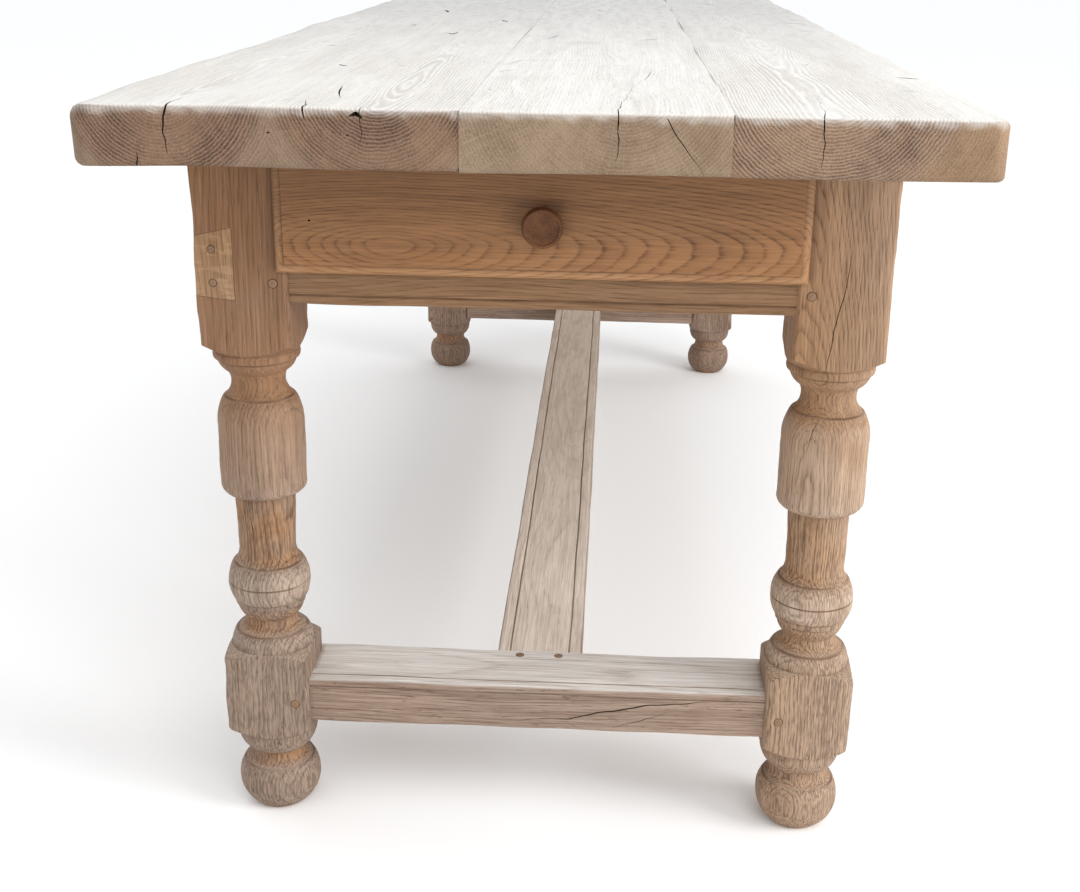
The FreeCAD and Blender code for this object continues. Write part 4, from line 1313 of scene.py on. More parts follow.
@dataclass
class PlankTop:
    """Three scrubbed planks with open end grain."""

    def planks(self) -> list[Plank]:
        """Describes the three planks with their rings and splits.

        Returns:
            The planks from left to right.
        """
        end, face = NEAR_END - 3 * MM, (0.0, 1.0, -0.1)
        left = Plank(
            "top_plank_left", "plank_left", replace(
                TOP_OAK, name="top_oak_left", piths=((-0.303, 0.79), (-0.126, 0.79)), seed=1.3),
            seed=11, outer=-1, end_shift=0.3 * MM, splits=(
                end_split(-0.300, ((0.02, -0.2995), (0.05, -0.297), (0.09, -0.2925)), 2.2 * MM, 46 * MM, 1),
                end_split(-0.1855, ((0.02, -0.1875), (0.05, -0.193), (0.1, -0.2015)), 2.6 * MM, 12 * MM, 2),
                end_split(-0.140, ((0.02, -0.138), (0.06, -0.131)), 1.1 * MM, 34 * MM, 3),
                Split(((-0.149, end, 0.7635), (-0.1435, end, 0.766), (-0.138, end, 0.7625)), face,
                      (2 * MM, 6.5 * MM, 2 * MM), (5 * MM, 13 * MM, 6 * MM), 4),
                Split(((-0.3255, SPLIT_START, 0.7195), (-0.323, -0.99, 0.7195)), (0.05, 0.0, 1.0),
                      (2.2 * MM, 0.2 * MM), (15 * MM, 2 * MM), 5),
                pit((-0.215, end, 0.750), face, 2.4 * MM, 13), pit((-0.1503, end, 0.749), face, 2.2 * MM, 14),
                top_slit(((-0.2271, -0.642), (-0.2143, -0.662)), 4.5 * MM, 6),
                top_slit(((-0.1834, -0.852), (-0.180, -0.89), (-0.169, -0.949)), 2.2 * MM, 7),
                top_slit(((-0.286, -0.402), (-0.276, -0.390)), 3.4 * MM, 8),
                top_slit(((-0.168, -0.159), (-0.1583, -0.184), (-0.1545, -0.144)), 5 * MM, 9),
                top_slit(((-0.236, -0.016), (-0.2324, 0.0125)), 3 * MM, 10),
                top_slit(((-0.117, 0.14), (-0.102, 0.105)), 7 * MM, 12),
                top_slit(((-0.234, 0.395), (-0.222, 0.335)), 6 * MM, 15),
                top_slit(((-0.2134, -0.982), (-0.2069, -0.970)), 1.2 * MM, 16),
                top_slit(((-0.1622, -0.653), (-0.155, -0.642)), 1.5 * MM, 17),
            ))
        middle = Plank(
            "top_plank_middle", "plank_middle", replace(
                TOP_OAK, name="top_oak_middle", piths=((0.074, 0.80),), seed=4.1, contrast=0.3, ring=3.0 * MM,
                light=(0.275, 0.195, 0.127), dark=(0.125, 0.075, 0.044), rays=0.4, heart=0.3, base=0.16,
                blotch=0.28, broad=0.4, fibre=0.35),
            seed=22, outer=0, end_shift=-0.2 * MM, stains=(
                (-0.038, -0.757, 0.022, 0.03), (0.02, -0.29, 0.03, 0.05), (-0.02, -0.20, 0.025, 0.06),
                (0.1, -0.30, 0.02, 0.05)), splits=(
                end_split(0.068, (
                    (0.03, 0.0685), (0.1, 0.073), (0.2, 0.082), (0.3, 0.095)), 1.3 * MM, 44 * MM, 21),
                Split(((0.107, end, 0.766), (0.116, end, 0.752), (0.139, end, 0.721)), (0.0, 1.0, 0.0),
                      (0.9 * MM, 0.9 * MM, 0.3 * MM), (30 * MM, 24 * MM, 8 * MM), 22, wave=0.5 * MM),
                top_slit(((-0.0575, -0.634), (-0.0387, -0.556), (0.037, -0.544)), 1.7 * MM, 23),
                top_slit(((-0.057, -0.705), (-0.038, -0.666)), 1.4 * MM, 24),
                top_slit(((-0.0277, -0.24), (-0.012, -0.15)), 2.2 * MM, 25),
                top_slit(((-0.0044, -0.305), (0.02, -0.30), (0.048, -0.285)), 1.6 * MM, 26),
                top_slit(((0.0924, -0.238), (0.1207, -0.223)), 5 * MM, 27),
                top_slit(((0.104, -0.625), (0.098, -0.70), (0.092, -0.76)), 1.2 * MM, 28),
                pit((-0.048, -0.862, UPPER_FACE), DOWN, 3 * MM, 29),
                top_slit(((0.025, 0.47), (0.045, 0.42)), 4 * MM, 30),
            ))
        right = Plank(
            "top_plank_right", "plank_right", replace(
                TOP_OAK, name="top_oak_right", piths=((0.239, 0.80),), seed=7.7, contrast=0.95, ring=2.8 * MM,
                light=(0.305, 0.20, 0.127), dark=(0.073, 0.04, 0.026), sap=(0.27, 0.165, 0.09),
                heart=103 * MM, base=0.08, broad=0.4, fading=0.45),
            seed=33, outer=1, end_shift=0.5 * MM, stains=(
                (0.326, -0.557, 0.014, 0.02), (0.2, -0.2, 0.03, 0.06)), splits=(
                end_split(0.232, ((0.03, 0.2345), (0.08, 0.238), (0.17, 0.2465)), 1.3 * MM, 47 * MM, 31),
                pit((0.272, -0.559, UPPER_FACE), DOWN, 4 * MM, 32),
                top_slit(((0.3474, -0.678), (0.3701, -0.695)), 7 * MM, 33),
                top_slit(((0.3252, -0.813), (0.3436, -0.823)), 1.5 * MM, 34),
                top_slit(((0.313, 0.187), (0.361, 0.157)), 4 * MM, 35),
                top_slit(((0.33, -0.002), (0.351, -0.010)), 2.5 * MM, 36),
                top_slit(((0.2325, 0.735), (0.249, 0.715)), 6 * MM, 37),
            ))
        return [left, middle, right]

    def build(self) -> None:
        """Builds the planks in order."""
        for plank in self.planks():
            plank.build()


PEG_ROWS = ("apron_pegs", "rail_pegs", "stretcher_pegs", "long_stretcher_pegs", "patch_pegs")


def peg_seats(
    low: Vector, high: Vector, gap: float = 0.25 * MM, depth: float = 1.8 * MM, sides: int = 22
) -> list[bpy.types.Object]:
    """Makes the tools for the open ring about each peg head that shows on a piece.

    Args:
        low: Lowest corner of the piece.
        high: Highest corner of the piece.
        gap: Width of the ring.
        depth: Depth of the ring.
        sides: Sides of each tool.

    Returns:
        The tools.
    """
    angles = np.arange(sides) / sides * math.tau
    tools = []
    for lowest, highest in (box for row in PEG_ROWS for box in solids_of(row)):
        size, middle = highest - lowest, 0.5 * (lowest + highest)
        axis = longest(size)
        way = math.copysign(1.0, middle[axis])
        head = middle.copy()
        head[axis] += way * 0.5 * size[axis]
        if any(not low[number] - 1 * MM < head[number] < high[number] + 1 * MM for number in range(3)):
            continue
        radius = 0.5 * size[(axis + 1) % 3] + gap
        rings = np.empty((2, sides, 3))
        rings[:] = head
        rings[..., axis] += np.array([[-way * depth], [way * depth]])
        rings[..., (axis + 1) % 3] += radius * np.cos(angles)
        rings[..., (axis + 2) % 3] += radius * np.sin(angles)
        tools.append(opening(*loft(rings)))
    return tools


TURNING: Turning = (
    ((0.985, 1.0),), ((0.955, 0.997),), ((0.98, 0.984), (0.955, 0.969)), ((0.90, 0.967),),
    ((0.825, 0.944), (0.68, 0.927)), ((0.61, 0.898), (0.775, 0.848)), ((0.81, 0.846),),
    ((0.935, 0.806), (0.98, 0.745)), ((0.99, 0.66), (0.98, 0.564)), ((0.93, 0.538), (0.785, 0.528)),
    ((0.705, 0.521),), ((0.66, 0.335),), ((0.695, 0.309), (0.785, 0.289)), ((0.82, 0.287),),
    ((0.968, 0.222), (0.875, 0.163)), ((0.845, 0.161),), ((0.815, 0.142),), ((0.785, 0.14),),
    ((0.71, 0.112), (0.6, 0.094)), ((0.635, 0.07), (0.82, 0.05)), ((0.85, 0.048),),
    ((0.935, 0.028), (0.985, 0.0)),
)
FOOT: Turning = (
    ((0.985, 1.0),), ((0.955, 0.995),), ((0.92, 0.86), (0.795, 0.767)), ((0.73, 0.762),),
    ((0.67, 0.656), (0.82, 0.561)), ((0.85, 0.555),), ((0.985, 0.3), (0.62, 0.0)),
)
SCRIBED_LINES = (
    (0.222, 1.1 * MM), (0.8475, 0.9 * MM), (0.288, 1.0 * MM), (0.9685, 0.7 * MM), (0.162, 0.5 * MM),
    (0.1395, 0.4 * MM), (0.0485, 0.6 * MM), (0.5245, 0.3 * MM),
)
FOOT_LINES = (0.765, 0.557)
SCRIBED_ROWS = np.array((-1.6, -0.9, -0.45, 0.0, 0.45, 0.9, 1.6)) * MM


@dataclass
class TurnedLeg:
    """One leg: two square blocks joined by turned work, on a bun foot."""

    node: str
    name: str
    finish: Oak
    seed: int
    foot_height: float = 94.5 * MM
    block_height: float = 100 * MM
    head_height: float = 203 * MM
    shoulder_height: float = 14 * MM
    low_shoulder_height: float = 19 * MM
    crown: float = 2.6 * MM
    shoulder_reach: float = 66 * MM
    edge_round: float = 3.5 * MM
    flat_angle: float = 38.0
    flat_points: int = 27
    corner_points: int = 8
    row_step: float = 1.25 * MM
    block_step: float = 5 * MM
    scribe_width: float = 0.75 * MM
    edge_blend: float = 0.45 * MM
    low_blend: float = 0.8 * MM
    hollow_spread: tuple[float, float] = (-0.86, -0.68)
    proud_spread: tuple[float, float] = (0.82, 0.97)
    painted_side_light: float = 0.0
    exposed: float = 0.1
    splits: tuple[Split, ...] = ()

    def profile(self, half: float, height: float) -> np.ndarray:
        """Follows the turned outline from the top of the leg to the floor.

        Args:
            half: Half the side of the square blocks.
            height: Height of the leg.

        Returns:
            Radius and height of each row.
        """
        head = height - self.head_height
        block_top = self.foot_height + self.block_height
        reach = self.shoulder_reach
        shaft = turned(TURNING, half, block_top, head - block_top, self.row_step)
        lines = self.scribed(height)
        levels = np.unique(np.concatenate([shaft[:, 1]] + [level + SCRIBED_ROWS for level, _ in lines]))[::-1]
        shaft = np.stack([np.interp(levels, shaft[::-1, 1], shaft[::-1, 0]), levels], axis=1)
        for level, depth in lines:
            shaft[:, 0] -= depth * np.exp(-((levels - level) / self.scribe_width) ** 2)
        foot = turned(FOOT, half, 0.0, self.foot_height, self.row_step)
        upper = run((reach, height), (reach, head + self.shoulder_height), self.block_step)
        upper_turn = run(upper[-1], shaft[0], self.row_step)[:-1]
        shoulder = (reach, block_top - self.low_shoulder_height)
        crown_level = block_top - 0.5 * self.low_shoulder_height + self.crown
        crown = (0.5 * (shaft[-1, 0] + reach) + self.crown, crown_level)
        lower_turn = arc(shaft[-1], crown, shoulder, self.row_step)
        lower = run(lower_turn[-1], (reach, self.foot_height + self.shoulder_height), self.block_step)
        foot_turn = run(lower[-1], foot[0], self.row_step)[:-1]
        start = np.array([[reach, height]])
        return np.concatenate([start, upper, upper_turn, shaft, lower_turn, lower, foot_turn, foot])

    def scribed(self, height: float) -> list[tuple[float, float]]:
        """Gives the height and depth of each scribed line."""
        base, top = self.foot_height + self.block_height, height - self.head_height
        return [(base + share * (top - base), depth) for share, depth in SCRIBED_LINES]

    def square(self, angles: np.ndarray, half: float, rounds: np.ndarray) -> np.ndarray:
        """Gives the radius of the square block with rounded edges.

        Args:
            angles: Angles about the leg.
            half: Half the side of the block.
            rounds: Round of the edges in each row.

        Returns:
            Radius for each row and angle.
        """
        first, second = np.abs(np.cos(angles)), np.abs(np.sin(angles))
        wide, narrow = np.maximum(first, second)[None, :], np.minimum(first, second)[None, :]
        flat = half / wide
        inner = (half - rounds)[:, None]
        ahead = inner * (wide + narrow)
        curved = ahead + np.sqrt(np.maximum(ahead ** 2 - 2 * inner ** 2 + rounds[:, None] ** 2, 0.0))
        return np.where(flat * narrow <= inner, flat, curved)

    def build(self) -> bpy.types.Object:
        """Spins the leg and opens its splits.

        Returns:
            The leg, not yet installed.
        """
        low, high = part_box(self.node)
        middle = 0.5 * (low + high)
        half = 0.5 * (high.x - low.x)
        flat, corner = self.flat_angle, self.corner_points
        before, after = np.linspace(-45, -flat, corner)[:-1], np.linspace(flat, 45, corner)[1:-1]
        side = np.concatenate([before, np.linspace(-flat, flat, self.flat_points), after])
        angles = np.radians(np.concatenate([side + quarter for quarter in (0, 90, 180, 270)]))
        rows = self.profile(half, high.z)
        levels = rows[:, 1]
        uneven = np.stack([np.zeros_like(levels), np.zeros_like(levels), levels], axis=1)
        rounds = self.edge_round * (1.25 + Wobble(self.seed, 0.45, 0.05).at(uneven))
        rounds = np.clip(rounds * (1.7 - 0.7 * ease(levels, 0.2, 0.5)), 1.2 * MM, 11 * MM)
        square = self.square(angles, half, rounds)
        radius = np.broadcast_to(rows[:, :1], square.shape)
        blend = (self.edge_blend + self.low_blend * ease(-levels, -0.3, -0.21))[:, None]
        joined = -blend * np.logaddexp(-square / blend, -radius / blend)
        rows_3d = np.stack([
            joined * np.cos(angles), joined * np.sin(angles), np.broadcast_to(levels[:, None], joined.shape)
        ], axis=-1)
        swell = Wobble(self.seed + 1, 0.28 * MM, 0.055).at(rows_3d)
        swell += Wobble(self.seed + 2, 0.09 * MM, 0.012).at(rows_3d)
        swell *= ease(levels, 0.0, 4 * MM)[:, None] * ease(-levels, -high.z, -high.z + 4 * MM)[:, None]
        rows_3d[..., :2] *= (1.0 + swell / joined)[..., None]
        rows_3d[..., 0] += middle.x
        rows_3d[..., 1] += middle.y
        piece = model(self.name, *loft(rows_3d))
        cut(piece, [split.blade() for split in self.splits] + peg_seats(low, high))
        return piece

    def install(self, piece: bpy.types.Object) -> None:
        """Ages the leg, darkens its scribed lines, paints the drawer lip's shadow beside it and any side
        light across it, and puts it in its place.

        Args:
            piece: Leg with its final mesh.
        """
        Ageing(top=0.35, wear=0.7, grime=0.8, worn_curve=(70.0, 400.0)).paint(piece)
        places = numbers(piece.data.vertices, "co", 3)
        low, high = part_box(self.node)
        broken = np.clip(0.7 + Wobble(self.seed + 5, 0.45, 0.03).at(places), 0.1, 0.95)
        levels = [level for level, _ in self.scribed(high.z)]
        for level in levels + [share * self.foot_height for share in FOOT_LINES]:
            Ageing.deepen(piece, broken * np.exp(-((places[:, 2] - level) / self.scribe_width) ** 2))
        middle = 0.5 * (low + high)
        # Painted shadow: the front faces of the near legs darken beside the drawer lip, which stands proud of
        # them and shades them.
        if middle.y < 0:
            lip_low, lip_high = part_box("drawer_front")
            aside = np.maximum(lip_low.x - places[:, 0], places[:, 0] - lip_high.x)
            lip_shadow = ease(-aside, -10 * MM, 0.0) * ease(places[:, 2], lip_low.z - 1 * MM, lip_low.z + 5 * MM)
            Ageing.deepen(piece, 0.6 * lip_shadow * ease(-places[:, 1], -low.y - 4 * MM, -low.y - 2 * MM))
        spread = np.hypot(places[:, 0] - middle.x, places[:, 1] - middle.y) / (0.5 * (high.x - low.x))
        cloud = Wobble(self.seed + 6, 0.2, 0.04).at(places)
        sheltered = ease(-spread, *self.hollow_spread) * (0.65 + cloud)
        Ageing.write(piece.data, "sheltered", np.clip(sheltered, 0.0, 1.0))
        open_air = ease(spread, *self.proud_spread) * ease(-places[:, 2], -0.5, -0.47)
        open_air = open_air * ease(places[:, 2], 0.19, 0.215)
        pale = open_air * (self.exposed + 0.2 * ease(-places[:, 2], -0.4, -0.29)) * (1 + cloud)
        # Painted light: where asked, the leg grows paler across its width towards +x, as on the side that
        # takes the light.
        pale = np.maximum(pale, self.painted_side_light * ease(places[:, 0], low.x, high.x))
        Ageing.deepen(piece, pale, "bleach")
        install(piece, self.finish.material(), Body.TABLE, Slot.FRAME, self.node)


@dataclass
class LegSet:
    """Four turned legs and the repair let into the left front one."""

    patch_node: str = "leg_patch"
    patch_outer_low: float = 577 * MM
    patch_outer_high: float = 633.5 * MM
    patch_gap: float = 0.35 * MM
    patch_proud: float = 4 * MM

    def legs(self) -> list[TurnedLeg]:
        """Describes the four legs, the patched one first.

        Returns:
            The legs.
        """
        face = -0.8795
        near_left = TurnedLeg(
            "leg_front_left", "leg_near_left", replace(
                LEG_OAK, name="leg_oak_near_left", piths=((-0.36, -0.80),), seed=2.2,
                light=(0.31, 0.156, 0.074), dark=(0.125, 0.06, 0.03), contrast=0.48, fibre=0.6),
            seed=41, splits=(
                Split(((-0.2925, -0.868, 0.352), (-0.2905, -0.868, 0.33), (-0.2915, -0.868, 0.303)),
                      (0.1, 1.0, 0.0), (0.2 * MM, 1.1 * MM, 0.2 * MM), (2 * MM, 9 * MM, 2 * MM), 42,
                      wave=0.4 * MM),
                Split(((-0.3015, -0.866, 0.345), (-0.302, -0.866, 0.322), (-0.303, -0.866, 0.304)),
                      (0.3, 1.0, 0.0), (0.2 * MM, 0.9 * MM, 0.2 * MM), (2 * MM, 8 * MM, 2 * MM), 43,
                      wave=0.4 * MM),
            ))
        # The right near leg carries painted side light, paler towards its outer side.
        near_right = TurnedLeg(
            "leg_front_right", "leg_near_right", replace(
                LEG_OAK, name="leg_oak_near_right", piths=((0.236, -0.925),), seed=5.6, contrast=0.78,
                ring=2.5 * MM, light=(0.355, 0.203, 0.107), dark=(0.13, 0.067, 0.035), breaks=0.85,
                grey=(0.385, 0.27, 0.19), sheltered=(0.365, 0.20, 0.094),
                flame=Flame(centre=0.5, low_slope=0.0, high_slope=0.13, lean=1.0, quiet=1.0)),
            seed=51, painted_side_light=0.2, exposed=0.29, splits=(
                Split(((0.2865, face, 0.635), (0.2848, face, 0.62), (0.2798, face, 0.584),
                       (0.2746, face, 0.557), (0.2712, face, 0.522), (0.27, face, 0.505)), (0.05, 1.0, 0.0),
                      (0.15 * MM, 0.5 * MM, 0.8 * MM, 0.75 * MM, 0.6 * MM, 0.15 * MM),
                      (2 * MM, 9 * MM, 14 * MM, 14 * MM, 10 * MM, 3 * MM), 52, wave=0.5 * MM),
                Split(((0.270, face, 0.474), (0.2622, face, 0.455), (0.2581, face, 0.437),
                       (0.2557, face, 0.415)), (0.3, 1.0, 0.0), (0.7 * MM, 0.9 * MM, 0.6 * MM, 0.15 * MM),
                      (12 * MM, 14 * MM, 12 * MM, 6 * MM), 53, wave=0.5 * MM),
            ))
        # The far legs wear a darker copy of the leg oak, painted shade for their place under the back of the
        # table; they also grey less low down.
        far_rows = (("left", (-0.24, 0.75), 8.4, 61), ("right", (0.34, 0.76), 9.9, 71))
        far = [
            TurnedLeg("leg_back_" + side, "leg_far_" + side, replace(
                LEG_OAK, name="leg_oak_far_" + side, piths=(pith,), seed=figure, low_grey=0.45,
                light=(0.28, 0.152, 0.09)), seed=seed)
            for side, pith, figure, seed in far_rows
        ]
        return [near_left, near_right, *far]

    def patch_tool(self, gap: float) -> bpy.types.Object:
        """Builds the wedge-sided prism of the repair.

        Args:
            gap: Clearance added to its sides, which leaves an open joint.

        Returns:
            The prism, standing out of the leg's faces.
        """
        low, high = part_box(self.patch_node)
        left, right = low.x - self.patch_proud, high.x + gap
        share = self.patch_proud / (high.x - low.x)
        low_edge = self.patch_outer_low + share * (self.patch_outer_low - low.z) - gap
        high_edge = self.patch_outer_high + share * (self.patch_outer_high - high.z) + gap
        outline = ((left, low_edge), (right, low.z - gap), (right, high.z + gap), (left, high_edge))
        rows = [[(x, y, z) for x, z in outline] for y in (low.y - self.patch_proud, high.y + gap)]
        shape = loft(np.array(rows))
        return opening(*shape) if gap else model("patch_tool", *shape)

    def build(self) -> None:
        """Builds the legs, and fits the repair to the first."""
        for index, leg in enumerate(self.legs()):
            piece = leg.build()
            if index == 0:
                self.let_in(piece)
            leg.install(piece)

    def let_in(self, leg: bpy.types.Object) -> None:
        """Cuts the recess and makes the repair from the same turned surface.

        Args:
            leg: Leg that takes the repair.
        """
        patch = put("repair_patch", leg.data.copy())
        cut(patch, [self.patch_tool(0.0)], keep_inside=True)
        cut(patch, peg_seats(*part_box(self.patch_node)))
        cut(leg, [self.patch_tool(self.patch_gap)])
        Ageing(wear=0.7).paint(patch)
        oak = replace(
            LEG_OAK, name="patch_oak", piths=((-0.25, -0.95),), seed=12.5, light=(0.40, 0.232, 0.116),
            dark=(0.18, 0.095, 0.047), contrast=0.4, flecks=0.35, base=0.36, low_grey=0.0)
        install(patch, oak.material(), Body.TABLE, Slot.PATCH, self.patch_node)


@dataclass
class Beam:
    """Straight rail or stretcher with moulded edges."""

    node: str
    name: str
    finish: Oak
    slot: Slot
    axis: Axis
    ends: tuple[float, float]
    section: Section
    seed: int
    ageing: Ageing = Ageing(top=0.25, grime=0.55)
    splits: tuple[Split, ...] = ()
    row_step: float = 7 * MM
    overrun: float = 2 * MM
    uneven: float = 0.3 * MM

    def build(self) -> None:
        """Sweeps the section along the beam and installs it."""
        start, end = self.ends[0] - self.overrun, self.ends[1] + self.overrun
        places = np.linspace(start, end, max(8, round((end - start) / self.row_step)))
        along = np.zeros((len(places), 3))
        along[:, 0] = places
        swells = np.clip(1.1 + Wobble(self.seed, 0.35, 0.12).at(along), 0.5, 2.2)
        rows = []
        for place, swell in zip(places, swells):
            outline = self.section.outline(float(swell))
            filled = np.full((len(outline), 1), place)
            parts = (filled, outline[:, :1], outline[:, 1:])
            if self.axis is Axis.Y:
                parts = (outline[:, :1], filled, outline[:, 1:])
            rows.append(np.concatenate(parts, axis=1))
        points, faces = loft(np.array(rows))
        moves = [Wobble(self.seed + step, self.uneven, 0.11).at(points) for step in (1, 2)]
        points[:, 1 if self.axis is Axis.X else 0] += moves[0]
        points[:, 2] += moves[1]
        piece = model(self.name, points, faces)
        cut(piece, [split.blade() for split in self.splits] + peg_seats(*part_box(self.node)))
        self.ageing.paint(piece)
        install(piece, self.finish.material(), Body.TABLE, self.slot, self.node)


def beaded_rail(outer: float, inner: float, low: float, high: float) -> Section:
    """Draws a rail with a quirked bead along its lower outer edge.

    Args:
        outer: Place of the outer face.
        inner: Place of the inner face.
        low: Height of the lower edge.
        high: Height of the upper edge.

    Returns:
        The section.
    """
    inward = math.copysign(1.0, inner - outer)
    bead, quirk, deep = 8 * MM, 2.0 * MM, 2 * MM * inward
    return Section((
        (inner, low, 1.6 * MM), (outer, low, 4 * MM), (outer, low + bead, 3 * MM),
        (outer + deep, low + bead + 0.4 * MM, 0.2 * MM),
        (outer + deep, low + bead + quirk - 0.7 * MM, 0.2 * MM), (outer, low + bead + quirk, 0.8 * MM),
        (outer, high, 1.4 * MM), (inner, high, 1.0 * MM),
    ))


def corner_bead(outer: float, inward: float, low: float, high: float) -> list[Corner]:
    """Draws the outer side of a stretcher, with a bead set in its upper edge between two quirks.

    Args:
        outer: Place of the outer face.
        inward: Direction from the outer face into the wood, 1 or -1.
        low: Height of the lower edge.
        high: Height of the upper edge.

    Returns:
        Corners from the lower edge to the upper face.
    """
    wide, fall, quirk, deep = 13 * MM, 7 * MM, 1.6 * MM, 1.5 * MM
    inner_quirk = outer + inward * wide
    return [
        (outer, low, 2.6 * MM),
        (outer, high - fall - quirk, 0.9 * MM),
        (outer + inward * deep, high - fall - quirk + 0.6 * MM, 0.2 * MM),
        (outer + inward * deep, high - fall - 0.4 * MM, 0.2 * MM),
        (outer, high - fall, 1.4 * MM),
        (outer, high, 5 * MM),
        (inner_quirk, high, 1.6 * MM),
        (inner_quirk + inward * 0.4 * MM, high - deep, 0.2 * MM),
        (inner_quirk + inward * (quirk - 0.6 * MM), high - deep, 0.2 * MM),
        (inner_quirk + inward * quirk, high, 0.9 * MM),
    ]


@dataclass
class Understructure:
    """Aprons under the top, the drawer rail and the stretchers near the floor."""

    apron_low: float = 570 * MM
    apron_high: float = 720 * MM
    rail_high: float = 610 * MM
    side_outer: float = 318 * MM
    side_inner: float = 292 * MM
    end_outer: float = 876 * MM
    end_inner: float = 850 * MM
    stretcher_low: float = 114.5 * MM
    stretcher_high: float = 163.5 * MM
    stretcher_outer: float = 870 * MM
    stretcher_inner: float = 788 * MM
    long_half: float = 46 * MM

    def aprons(self) -> list[Beam]:
        """Describes the aprons and the drawer rail.

        Returns:
            The beams under the top.
        """
        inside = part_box("leg_front_left")[1]
        across, lengthwise = (inside.x, -inside.x), (inside.y, -inside.y)
        low, high = self.apron_low, self.apron_high
        near = replace(RAIL_OAK, name="rail_oak_near", seed=3.1)
        far = replace(RAIL_OAK, name="rail_oak_far", seed=6.4, piths=((0.5, 0.9),))
        beams = [
            Beam("drawer_rail", "rail_beaded", near, Slot.FRAME, Axis.X, across,
                 beaded_rail(-self.end_outer, -self.end_inner, low, self.rail_high), 81),
            Beam("back_apron", "apron_far", far, Slot.FRAME, Axis.X, across,
                 beaded_rail(self.end_outer, self.end_inner, low, high), 84),
        ]
        for side, name, seed in ((-1, "left", 87), (1, "right", 90)):
            oak = replace(
                RAIL_OAK, name="apron_oak_" + name, grain=Axis.Y, piths=((side * 0.36, 0.66),),
                seed=float(seed), light=(0.32, 0.196, 0.118), dark=(0.15, 0.085, 0.05))
            section = beaded_rail(side * self.side_outer, side * self.side_inner, low, high)
            beams.append(Beam(
                "side_apron_" + name, "apron_" + name, oak, Slot.FRAME, Axis.Y, lengthwise, section, seed,
                row_step=12 * MM))
        return beams

    def stretchers(self) -> list[Beam]:
        """Describes the stretchers.

        Returns:
            The beams near the floor.
        """
        across = (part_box("leg_front_left")[1].x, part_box("leg_front_right")[0].x)
        low, high = self.stretcher_low, self.stretcher_high
        worn = Ageing(top=0.9, grime=0.85, top_from=high - 5 * MM)
        face = -0.8705
        shakes = (
            Split(((-0.03, face, 0.1252), (0.036, face, 0.1286), (0.074, face, 0.1376), (0.106, face, 0.1455),
                   (0.147, face, 0.1515), (0.2, face, 0.1545)), (0.0, 1.0, 0.35),
                  (0.2 * MM, 1.2 * MM, 1.8 * MM, 1.6 * MM, 1.2 * MM, 0.2 * MM),
                  (2 * MM, 9 * MM, 12 * MM, 12 * MM, 8 * MM, 2 * MM), 95, wave=0.7 * MM),
            Split(((0.078, face, 0.120), (0.11, face, 0.1285), (0.1375, face, 0.1404)), (0.0, 1.0, 0.3),
                  (0.2 * MM, 1.0 * MM, 0.2 * MM), (1.5 * MM, 6 * MM, 1.5 * MM), 96, wave=0.6 * MM),
        )
        beams = []
        for side, name, label, splits in ((-1, "front", "near", shakes), (1, "back", "far", ())):
            outer, inner = side * self.stretcher_outer, side * self.stretcher_inner
            corners = [(inner, low, 2.2 * MM), *corner_bead(outer, -side, low, high), (inner, high, 2.2 * MM)]
            oak = replace(
                STRETCHER_OAK, name="stretcher_oak_" + label, piths=((0.05, side * 0.84),), seed=2.0 + side)
            beams.append(Beam(
                "end_stretcher_" + name, "stretcher_" + label, oak, Slot.STRETCHER, Axis.X, across,
                Section(tuple(corners)), 100 + side, worn, splits))
        rights = corner_bead(self.long_half, -1.0, low, high)
        lefts = corner_bead(-self.long_half, 1.0, low, high)
        section = Section(tuple(rights + lefts[::-1]))
        # The long stretcher's stain colour darkens and warms its far end, as painted shade under the table.
        oak = replace(
            STRETCHER_OAK, name="stretcher_oak_long", grain=Axis.Y, piths=((0.02, 0.05),), seed=6.5,
            bleached_and_lit=(0.87, 0.775, 0.675), bleached_and_lit_dark=(0.52, 0.43, 0.35), contrast=0.42, blotch=0.14,
            broad=0.2, far_shade=0.5, stain=(0.52, 0.40, 0.30))
        beams.append(Beam(
            "long_stretcher", "stretcher_long", oak, Slot.STRETCHER, Axis.Y,
            (-self.stretcher_inner, self.stretcher_inner), section, 105, worn, row_step=12 * MM))
        return beams

    def build(self) -> None:
        """Builds all beams."""
        for beam in self.aprons() + self.stretchers():
            beam.build()


KNOB: Turning = (
    ((0.6, 0.0),), ((0.5, 0.24), (0.64, 0.48)), ((0.94, 0.62),), ((1.0, 0.76), (0.93, 0.93)),
    ((0.86, 0.99), (0.78, 0.96)), ((0.55, 0.935), (0.3, 0.925)), ((0.02, 0.925),),
)


